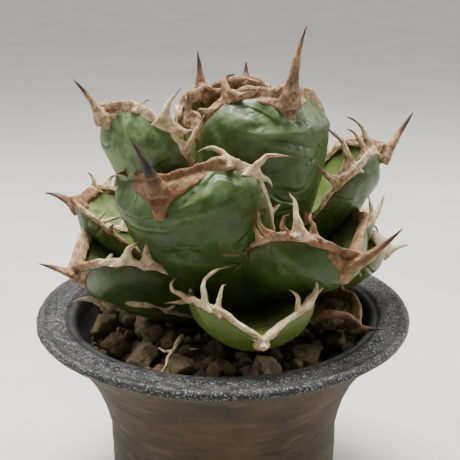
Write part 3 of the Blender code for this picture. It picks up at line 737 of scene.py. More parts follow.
@dataclass
class Pot:
    """Thrown pot with a wide flared rim and a straight body."""

    height: float = 92.0
    rim_radius: float = 75.0
    rim_edge: float = 1.9
    ledge_width: float = 15.0
    neck_depth: float = 48.0
    body_radius: float = 47.2
    wall: float = 4.6
    floor: float = 6.0
    foot_height: float = 2.6
    foot_width: float = 6.5
    notch_width: float = 9.0
    notches: int = 3
    drain_radius: float = 7.0
    grit_offset: float = -0.4
    grit_reach: float = 3.6
    grit_depth: float = 2.4
    glaze_depth: float = 6.5
    glaze_fade: float = 2.2
    glaze_inset: float = 4.0
    lining_fade: float = 6.0
    segments: int = 480

    def __post_init__(self) -> None:
        """Takes the overall sizes from the frame."""
        low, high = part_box("pot")
        self.height = high.z / MM
        self.rim_radius = (high.x - low.x) / 2 / MM

    def wall_line(self) -> list[tuple[float, float]]:
        """Points of the inner side from its floor up to the throat.

        Returns:
            (radius, height) pairs, the same line that the solid has.
        """
        inner = self.body_radius - self.wall
        throat = self.rim_radius - self.ledge_width
        start = np.array([inner + 0.3, self.height - self.neck_depth])
        bend = np.array([inner + 3.0, self.height - self.neck_depth * 0.6])
        end = np.array([throat - 1.6, self.height - 8.0])
        line = [(self.drain_radius, self.floor), (inner - 3.0, self.floor), (inner, self.floor + 3.5)]
        line.append(tuple(start))
        return line + [tuple(bow(start, bend, end, share)) for share in np.linspace(0.0, 1.0, 9)[1:]]

    def inner_radius(self, height: float) -> float:
        """Radius of the inner side at a height."""
        line = self.wall_line()
        return float(np.interp(height, [h for _, h in line[1:]], [r for r, _ in line[1:]]))

    def outline(self) -> Array:
        """The closed outline, finely divided where it shows.

        Returns:
            Rows of radius and height, down the outer side and up the inner one.
        """
        edge_height = self.height - self.rim_edge
        edge_centre = self.rim_radius - self.rim_edge
        turn = np.radians(np.linspace(100.0, -60.0, 12))
        bead = np.column_stack(
            [edge_centre + self.rim_edge * np.cos(turn), edge_height + self.rim_edge * np.sin(turn)]
        )
        start = np.array([edge_centre - 1.5, edge_height - self.rim_edge - 1.0])
        end = np.array([self.body_radius + 0.2, self.height - self.neck_depth])
        corner = np.array([self.body_radius + 4.5, self.height - self.neck_depth * 0.46])
        share = np.linspace(0.0, 1.0, 46)[:, None]
        flare = bow(start, corner, end, share)
        down = np.linspace(self.height - self.neck_depth - 1.0, 3.0, 36)
        body = np.column_stack([np.full(36, self.body_radius), down])
        inner_foot = self.body_radius - self.foot_width
        foot = [
            (self.body_radius - 0.25, 1.2), (self.body_radius - 1.0, 0.15), (self.body_radius - 1.6, 0.0),
            (self.body_radius - 3.5, 0.0), (inner_foot, 0.0), (inner_foot - 0.5, 1.3),
            (inner_foot - 1.0, self.foot_height), (inner_foot * 0.6, self.foot_height),
            (self.drain_radius + 0.6, self.foot_height), (self.drain_radius, self.foot_height + 0.6),
            (self.drain_radius, self.floor - 0.5),
        ]
        throat = self.rim_radius - self.ledge_width
        lip = np.array([throat, self.height]) + [
            (-1.45, -6.0), (-1.2, -4.4), (-0.8, -3.1), (-0.2, -2.1), (0.6, -1.55),
            (1.3, -1.45), (1.8, -1.75), (2.3, -1.95), (2.9, -1.6), (3.5, -1.05),
        ]
        band_radius = np.linspace(throat + 4.0, edge_centre - 2.4, 15)
        band = np.column_stack([band_radius, np.full(15, self.height - 0.9)])
        rise = np.array([[edge_centre - 1.7, self.height - 0.6], [edge_centre - 1.0, self.height - 0.2]])
        return np.vstack([bead, flare, body, foot, self.wall_line(), lip, band, rise])

    def masks(self, radius: Array, height: Array, inside: Array) -> tuple[Array, Array, Array]:
        """Where the rim is gritty, where its edge bulges, and where the pot is glazed.

        Args:
            radius: Radius of each point.
            height: Height of each point.
            inside: Whether each ring lies on the inner side.

        Returns:
            Three masks from 0 to 1.
        """
        middle = self.rim_radius - self.ledge_width / 2 + self.grit_offset
        gritty = np.exp(-(((radius - middle) / self.grit_reach) ** 4))
        gritty = gritty * (height > self.height - self.grit_depth)
        bead = np.clip((radius - self.rim_radius + 6.0) / 4.0, 0, 1) * (height > self.height - 7.0)
        glazed = ease((height - (self.height - self.glaze_depth)) / self.glaze_fade)
        glazed *= radius > self.rim_radius - self.ledge_width - self.glaze_inset
        lining = inside[:, None] * ease((height - self.height * 0.5) / self.lining_fade)
        return gritty, bead, np.maximum(glazed, lining * 0.92)

    def build(self, finishes: Finishes) -> bpy.types.Object:
        """The pot, with its grit, throwing lines and foot notches.

        Args:
            finishes: The object's finishes.

        Returns:
            The dressed pot.
        """
        line = self.outline()
        rows = len(line)
        turn = full_turn(self.segments)
        radius = line[:, 0][:, None] * np.ones(self.segments)
        height = line[:, 1][:, None] * np.ones(self.segments)
        points = lathe(radius, turn, height)
        gritty, bead, glazed = self.masks(radius, height, np.arange(rows) > int(np.argmin(line[:, 0])))
        shown = height > self.foot_height + 2.0
        lumps = noise(points, 2.1, 3, 2)
        pits = np.minimum(noise(points, 1.6, 5, 2) + 0.12, 0.0)
        points[..., 2] += gritty * (0.28 * lumps + 0.75 * pits)
        sway = noise(points * np.array([0.15, 0.15, 1.0]), 3.2, 8, 2) * 0.22
        sway = sway + noise(points, 16.0, 9, 2) * 0.25
        chips = np.minimum(noise(points, 1.8, 13) + 0.3, 0.0) * 0.3
        sway += bead * (noise(points, 3.0, 12, 2) * 0.22 + chips)
        outer = (radius > self.body_radius - 1.0) * shown * (1.0 - gritty)
        scale = 1.0 + outer * np.minimum(sway, 0.25) / radius
        points[..., 0] *= scale
        points[..., 1] *= scale
        for notch in range(self.notches):
            middle_turn = math.tau * (notch + 0.5) / self.notches
            across = radius * np.sin(turn - middle_turn)
            inside = (np.abs(across) < self.notch_width / 2) & (np.cos(turn - middle_turn) > 0)
            inside &= (height < self.foot_height) & (radius > self.body_radius - self.foot_width - 2.0)
            points[..., 2] = np.where(inside, self.foot_height, points[..., 2])
        number = numbered(rows, self.segments)
        faces = between_rings(np.vstack([number, number[:1]]))
        # The gritty mask also covers the rolled edge, where its extra bright flecks are partly real glaze
        # specks and partly a painted highlight.
        values = {"glazed": glazed.ravel(), "gritty": np.maximum(gritty, bead * 0.8).ravel()}
        materials = [finishes.clay.material]
        pot = mesh_piece("clay_pot", points.reshape(-1, 3), faces.tolist(), materials, values=values)
        own(pot, Slot.CLAY, "pot")
        return pot


def own(piece: bpy.types.Object, slot: Slot, *nodes: str) -> bpy.types.Object:
    """Makes a piece ride with the plant's one body and stand for its solids.

    Args:
        piece: The finished piece.
        slot: A material slot name; not used.
        *nodes: The solids that it stands for.

    Returns:
        The same piece.
    """
    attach(piece, BODY)
    if nodes:
        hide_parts(*nodes)
    LOG.info("%s: %d faces", piece.name, len(piece.data.polygons))
    return piece


# ---------------------------------------------------------------- soil, gravel and roots


@dataclass
class RockMaker:
    """Angular stones from a ball trimmed by random planes and roughened."""

    detail: int = 4
    facets: int = 17
    sharpness: float = 34.0
    ball: Array = field(init=False)
    faces: Array = field(init=False)

    def __post_init__(self) -> None:
        """Makes the ball that every stone starts from."""
        bm = bmesh.new()
        bmesh.ops.create_icosphere(bm, subdivisions=self.detail, radius=1.0)
        self.ball = np.array([vert.co[:] for vert in bm.verts])
        self.faces = np.array([[vert.index for vert in face.verts] for face in bm.faces])
        bm.free()

    def rock(self, seed: int, half: Triple) -> Array:
        """One stone round the origin.

        Args:
            seed: The stone's own number.
            half: Half its width, depth and height in millimetres.

        Returns:
            The stone's points, for the ball's faces.
        """
        dice = np.random.default_rng(seed)
        normals = unit(dice.normal(size=(self.facets, 3)))
        away = dice.uniform(0.52, 0.92, self.facets)
        reach = np.maximum(self.ball @ normals.T, 0.0) / away
        distance = np.sum(reach**self.sharpness, axis=1) ** (-1.0 / self.sharpness)
        distance = np.minimum(distance, 1.25)
        offset = dice.uniform(0, 50, 3)
        lumps = 1.0 + 0.15 * noise(self.ball + offset, 0.7, seed, 3)
        distance *= lumps + 0.13 * noise(self.ball + offset, 0.22, seed, 2)
        points = self.ball * distance[:, None]
        points = (points - (points.max(0) + points.min(0)) / 2) / ((points.max(0) - points.min(0)) / 2)
        return points * np.array(half)


@dataclass
class Bedding:
    """What fills the pot: damp grit, loose gravel on it, and a few dry roots."""

    pot: Pot
    depth: float = 14.5
    mound: float = 5.0
    clearance: float = 0.3
    net_radius: float = 12.3
    net_top: float = 7.5
    crumbs: float = 0.9
    rings: int = 48
    segments: int = 160
    stones: tuple[str, ...] = tuple(f"stone_{number:02d}" for number in range(1, 29))
    loose_tries: int = 3200
    loose_radius: tuple[float, float] = (1.9, 4.6)
    loose_squash: tuple[float, float] = (0.72, 1.12)
    first_layer: float = 0.4
    next_layers: tuple[float, float] = (2.2, 6.2)
    nearness: float = 0.8
    outer_ring: float = 50.0
    seed: int = 7

    def edge(self) -> float:
        """Radius of the grit's surface where it meets the pot."""
        return self.pot.inner_radius(self.pot.height - self.depth) - self.clearance

    def surface(self, radius: Array | float) -> Array:
        """Height of the grit at a distance from the pot's middle."""
        share = np.minimum(np.asarray(radius) / self.edge(), 1.0)
        return self.pot.height - self.depth + self.mound * (1.0 - share * share)

    def grit(self, finishes: Finishes) -> bpy.types.Object:
        """The body of grit, with a crumbly top.

        Args:
            finishes: The object's finishes.

        Returns:
            The dressed piece.
        """
        edge = self.edge()
        reach = edge * np.linspace(0.012, 1.0, self.rings)
        top = np.column_stack([reach, self.surface(reach)])
        limit = self.pot.height - self.depth - 1.0
        wall = [(r - self.clearance, h) for r, h in reversed(self.pot.wall_line()[2:]) if h < limit]
        base = self.pot.floor + self.clearance
        corner = (self.pot.body_radius - self.pot.wall - 3.0, base)
        hollow = [(self.net_radius, base), (self.net_radius, self.net_top), (0.6, self.net_top)]
        line = np.array([*top, *wall, corner, *hollow])
        radius = line[:, 0][:, None] * np.ones(self.segments)
        points = lathe(radius, full_turn(self.segments), line[:, 1][:, None] + 0 * radius)
        crumbly = slice(0, self.rings - 1)
        points[crumbly, :, 2] += noise(points[crumbly], 4.0, 21, 3) * self.crumbs
        number = numbered(len(line), self.segments)
        faces = between_rings(number).tolist() + [number[0].tolist(), number[-1][::-1].tolist()]
        piece = mesh_piece("potting_grit", points.reshape(-1, 3), faces, [finishes.soil.material])
        return own(piece, Slot.SOIL, "substrate")

    def placed_stones(self, finishes: Finishes, maker: RockMaker) -> list[tuple[Array, float]]:
        """The larger stones, one piece for each solid stone.

        Args:
            finishes: The object's finishes.
            maker: What shapes the stones.

        Returns:
            Each stone's centre and reach.
        """
        taken = []
        for number, node in enumerate(self.stones):
            low, high = (np.array(corner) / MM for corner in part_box(node))
            half = (high - low) / 2
            dice = np.random.default_rng(number + 40)
            centre = (high + low) / 2 + np.array([*dice.uniform(-0.7, 0.7, 2), dice.uniform(-0.5, 0.7)])
            grown = half * np.array([1.06, 1.06, 1.04])
            points = maker.rock(100 + number, tuple(grown)) + centre
            tint = {"tint": np.full(len(points), (0.62 + 0.38 * number * 7) % 1.0)}
            materials = [finishes.gravel.material]
            piece = mesh_piece(f"large_{node}", points, maker.faces.tolist(), materials, values=tint)
            own(piece, Slot.GRAVEL, node)
            taken.append((centre, float(half[:2].mean())))
        return taken

    def loose_stones(self, finishes: Finishes, maker: RockMaker, taken: list) -> bpy.types.Object:
        """Smaller stones dropped where there is room, as one piece.

        Args:
            finishes: The object's finishes.
            maker: What shapes the stones.
            taken: Centres and reaches of the stones already there.

        Returns:
            The dressed piece.
        """
        dice = np.random.default_rng(self.seed)
        spots = list(taken)
        points, faces, tints = [], [], []
        for attempt in range(self.loose_tries):
            radius = dice.uniform(*self.loose_radius)
            reach = (self.edge() - radius * 0.55) * math.sqrt(dice.uniform(0.04, 1.0))
            turn = dice.uniform(0.0, math.tau)
            layer = 0.0 if attempt < self.loose_tries * self.first_layer else dice.uniform(*self.next_layers)
            height = float(self.surface(reach)) + radius * 0.5 + layer
            centre = np.array([reach * math.cos(turn), reach * math.sin(turn), height])
            near = [np.linalg.norm(centre - spot) < self.nearness * (radius + size) for spot, size in spots]
            top = self.pot.height - 0.8 if reach > self.outer_ring else self.pot.height + 0.5
            if any(near) or height + radius * 0.7 > top:
                continue
            half = radius * dice.uniform(*self.loose_squash, 3)
            shape = maker.rock(500 + attempt, tuple(half))
            spin = dice.uniform(0.0, math.tau)
            cos, sin = math.cos(spin), math.sin(spin)
            turned = np.array([[cos, -sin, 0], [sin, cos, 0], [0, 0, 1]])
            faces.append(maker.faces + sum(len(part) for part in points))
            points.append(shape @ turned.T + centre)
            tints.append(np.full(len(shape), dice.uniform()))
            spots.append((centre, radius))
        piece = mesh_piece(
            "loose_gravel", np.vstack(points), np.vstack(faces).tolist(), [finishes.gravel.material],
            values={"tint": np.concatenate(tints)},
        )
        return own(piece, Slot.GRAVEL)

    def dead_root(self, finishes: Finishes) -> bpy.types.Object:
        """A bleached root that lies over the gravel at the front.

        Args:
            finishes: The object's finishes.

        Returns:
            The dressed root.
        """
        horn = Horn()
        top = self.pot.height - 4.5
        runs = (
            [
                (-15, -34, 6.0), (-17, -39, 5.2), (-18, -43, 4.6),
                (-20, -47, 3.4), (-20, -51, 3.0), (-22, -54, 0.8),
            ],
            [(-18, -43, 4.6), (-21, -44, 4.2), (-23.5, -43, 5.6)],
            [(-12, -40, 3.4), (-9.5, -43, 5.0), (-8, -42, 4.0)],
        )
        for number, run in enumerate(runs):
            knots = np.array(run) + np.array([0.0, 0.0, top])
            place = np.linspace(0, len(knots) - 1, 40)
            line = follow(knots, place)
            for _ in range(6):
                line[1:-1] = (line[:-2] + line[1:-1] * 2 + line[2:]) / 4
            size = (1.05 - 0.3 * number) * np.linspace(1.0, 0.45, 40) * (1 + 0.3 * noise(line, 3.0, 4, 2))
            flat = np.zeros(40)
            horn.tube(line, size, size * 0.8, np.tile([1.0, 0.2, 0.0], (40, 1)), flat, flat)
        points, faces, values, _ = horn.fused(0.3, 5)
        piece = mesh_piece("dead_root", points, faces, [finishes.horn.material], values=values)
        return own(piece, Slot.BARK)

    def seed_bed(self) -> bpy.types.Object:
        """A plain disc on the grit that the fine scatters start from."""
        rings, sides = 14, 64
        radius = np.linspace(6.0, self.edge() - 1.0, rings)[:, None] * np.ones(sides)
        points = lathe(radius, full_turn(sides), self.surface(radius) + 0.6)
        faces = between_rings(numbered(rings, sides)).tolist()
        return mesh_piece("seed_bed", points.reshape(-1, 3), faces, [])


class ScatterTree:
    """Base of a Geometry Nodes tree that spreads shapes over a surface."""

    sizes: dict[str, float] = {}

    def __init__(self, name: str, inputs: dict[str, tuple[str, object]]) -> None:
        """Starts the tree with its named inputs.

        Args:
            name: The tree's name.
            inputs: Input name to its kind, such as Float, and its default.
        """
        self.tree = bpy.data.node_groups.new(name, "GeometryNodeTree")
        face = self.tree.interface
        face.new_socket("Geometry", in_out="INPUT", socket_type="NodeSocketGeometry")
        for key, (kind, value) in inputs.items():
            socket = face.new_socket(key, in_out="INPUT", socket_type=f"NodeSocket{kind}")
            if value is not None:
                socket.default_value = value
        face.new_socket("Geometry", in_out="OUTPUT", socket_type="NodeSocketGeometry")
        self.w = Wiring(self.tree)
        self.start = self.w.put("NodeGroupInput").outputs
        self.end = self.w.put("NodeGroupOutput")
        self.wire()

    def wire(self) -> None:
        """Adds the tree's own nodes."""

    def spots(self) -> bpy.types.NodeSocket:
        """Points on the base, no two nearer than the spacing."""
        start = self.start
        sockets = {"Mesh": start["Geometry"], "Distance Min": start["Spacing"]}
        sockets |= {"Density Max": start["Density"], "Seed": start["Seed"]}
        node = self.w.put("GeometryNodeDistributePointsOnFaces", sockets, distribute_method="POISSON")
        return node.outputs["Points"]

    def finish(self, geometry: bpy.types.NodeSocket) -> None:
        """Closes the tree with plain geometry in its material."""
        plain = self.w.put("GeometryNodeRealizeInstances", {"Geometry": geometry}).outputs[0]
        dressed = self.w.put("GeometryNodeSetMaterial", {"Geometry": plain, "Material": self.start["Finish"]})
        self.tree.links.new(dressed.outputs[0], self.end.inputs[0])

    def apply(self, name: str, base: bpy.types.Object, finish: Finish) -> bpy.types.Object:
        """Runs the tree on a base and turns the result into a plain object.

        Args:
            name: Name of the new object.
            base: The object whose surface is used.
            finish: What the scattered shapes are made of.

        Returns:
            The new object at the origin, with no modifier.
        """
        modifier = base.modifiers.new(name, "NODES")
        modifier.node_group = self.tree
        values = {**self.sizes, "Finish": finish.material}
        for item in self.tree.interface.items_tree:
            if item.in_out == "INPUT" and item.name in values:
                modifier[item.identifier] = values[item.name]
        base.update_tag()
        bpy.context.view_layer.update()
        graph = bpy.context.evaluated_depsgraph_get()
        mesh = bpy.data.meshes.new_from_object(base.evaluated_get(graph))
        mesh.name = name
        base.modifiers.remove(modifier)
        piece = bpy.data.objects.new(name, mesh)
        bpy.context.scene.collection.objects.link(piece)
        return piece


class PebbleScatter(ScatterTree):
    """Small angular pebbles with their own tints."""

    sizes = {"Spacing": 0.0026, "Density": 120000.0, "Smallest": 0.0009, "Largest": 0.0019}

    def __init__(self) -> None:
        """Names the inputs."""
        inputs = {
            "Spacing": ("Float", 0.004), "Density": ("Float", 60000.0), "Smallest": ("Float", 0.001),
            "Largest": ("Float", 0.002), "Roughening": ("Float", 0.0012), "Seed": ("Int", 1),
            "Finish": ("Material", None),
        }
        super().__init__("pebble_scatter", inputs)

    def wire(self) -> None:
        """Points, pebbles on them, then a lumpy push that makes each one different."""
        w, start = self.w, self.start
        spread = self.spots()
        ball = w.put("GeometryNodeMeshIcoSphere", {"Radius": 1.0, "Subdivisions": 1})
        size = w.put("FunctionNodeRandomValue", data_type="FLOAT")
        self.tree.links.new(start["Smallest"], size.inputs[2])
        self.tree.links.new(start["Largest"], size.inputs[3])
        across = size.outputs[1]
        flat = w.put("ShaderNodeCombineXYZ", {0: across, 1: across, 2: w.times(across, 0.75)})
        spin = w.put("FunctionNodeRandomValue", data_type="FLOAT_VECTOR")
        spin.inputs[1].default_value = (math.tau, math.tau, math.tau)
        tint = w.put("FunctionNodeRandomValue", {"Seed": 5}, data_type="FLOAT")
        sockets = {"Points": spread, "Instance": ball.outputs[0], "Scale": flat.outputs[0]}
        placed = w.put("GeometryNodeInstanceOnPoints", {**sockets, "Rotation": spin.outputs[0]})
        sockets = {"Geometry": placed.outputs[0], "Name": "tint"}
        stored = w.put("GeometryNodeStoreNamedAttribute", sockets, domain="INSTANCE")
        self.tree.links.new(tint.outputs[1], stored.inputs["Value"])
        real = w.put("GeometryNodeRealizeInstances", {"Geometry": stored.outputs[0]})
        cloud = w.put("ShaderNodeTexNoise", {"Scale": 420.0, "Detail": 2.0})
        sockets = {0: cloud.outputs["Color"], 1: (0.5, 0.5, 0.5)}
        centred = w.put("ShaderNodeVectorMath", sockets, operation="SUBTRACT")
        push = w.put("ShaderNodeVectorMath", {0: centred.outputs[0]}, operation="SCALE")
        self.tree.links.new(start["Roughening"], push.inputs["Scale"])
        moved = w.put("GeometryNodeSetPosition", {"Geometry": real.outputs[0], "Offset": push.outputs[0]})
        self.finish(moved.outputs[0])


class RootScatter(ScatterTree):
    """Fine dry root hairs that arch over the gravel."""

    sizes = {"Spacing": 0.016, "Length": 0.009, "Thickness": 0.00016}

    def __init__(self) -> None:
        """Names the inputs."""
        inputs = {
            "Spacing": ("Float", 0.015), "Density": ("Float", 3000.0), "Length": ("Float", 0.008),
            "Thickness": ("Float", 0.0002), "Seed": ("Int", 3), "Finish": ("Material", None),
        }
        super().__init__("root_scatter", inputs)

    def wire(self) -> None:
        """Points, one arched hair on each, then a round section along it."""
        w, start = self.w, self.start
        spread = self.spots()
        ends = {"Start": (-0.5, 0.0, 0.0), "Middle": (0.1, 0.35, 0.7), "End": (0.6, -0.1, 0.15)}
        arch = w.put("GeometryNodeCurveQuadraticBezier", {"Resolution": 8, **ends})
        turn = w.put("FunctionNodeRandomValue", {"Seed": 2}, data_type="FLOAT_VECTOR")
        turn.inputs[0].default_value = (-0.5, -0.5, 0.0)
        turn.inputs[1].default_value = (0.5, 0.5, math.tau)
        size = w.put("FunctionNodeRandomValue", data_type="FLOAT")
        size.inputs[2].default_value = 0.5
        size.inputs[3].default_value = 1.3
        scale = w.times(size.outputs[1], start["Length"])
        placed = w.put(
            "GeometryNodeInstanceOnPoints",
            {"Points": spread, "Instance": arch.outputs[0], "Rotation": turn.outputs[0], "Scale": scale},
        )
        real = w.put("GeometryNodeRealizeInstances", {"Geometry": placed.outputs[0]})
        ring = w.put("GeometryNodeCurvePrimitiveCircle", {"Resolution": 5, "Radius": start["Thickness"]})
        sockets = {"Curve": real.outputs[0], "Profile Curve": ring.outputs[0], "Fill Caps": True}
        self.finish(w.put("GeometryNodeCurveToMesh", sockets).outputs[0])


# ---------------------------------------------------------------- leaves


@dataclass(frozen=True)
class Tooth:
    """One tooth on a leaf's edge; its bend and point are (outward, along, inward) from its root in mm."""

    side: int
    at: float
    bend: Triple
    point: Triple
    base: float = 2.6
    age: float | None = None


@dataclass(frozen=True)
class Fold:
    """A raised wrinkle on the outer face between two (place across, place along) ends."""

    start: tuple[float, float]
    end: tuple[float, float]
    width: float = 1.6
    height: float = 0.8


def plain_tooth(side: int, at: float, length: float, lift: float = 0.3) -> Tooth:
    """A tooth that curves a little back towards the stem.

    Args:
        side: +1 for the left edge seen from the stem, -1 for the right.
        at: Share of the leaf's length.
        length: How far it reaches.
        lift: How much it turns to the inner face, as a share of its length.

    Returns:
        The tooth.
    """
    bend = (0.62 * length, 0.12 * length, 0.1 * length)
    return Tooth(side, at, bend, (length, -0.18 * length, lift * length))


@dataclass(frozen=True)
class Leaf:
    """One leaf: its place in the spiral, its blade, its teeth and its spine."""

    name: str
    turn: int
    nudge: float
    seat: float
    root: float
    length: float
    width: float
    rise: tuple[float, float]
    cup: tuple[float, float] = (40, 50)
    thickness: float = 9.0
    lean: float = 0.0
    widest: float = 0.68
    root_width: float = 0.74
    spine: float = 16.0
    spine_bend: Triple = (0.0, 0.0, 0.0)
    teeth: tuple[Tooth, ...] = ()
    folds: tuple[Fold, ...] = ()
    age: float = 0.35
    crown_age: float = 0.8
    band: float = 1.0
    tongue: float = 0.84
    tongue_width: float = 0.5
    dark: float = 0.5
    young: float = 0.0
    # Amount of pale bloom: real wax plus painted top light, higher on upper leaves and lower on low front
    # leaves.
    wax_and_top_light: float = 1.0
    dry: bool = False


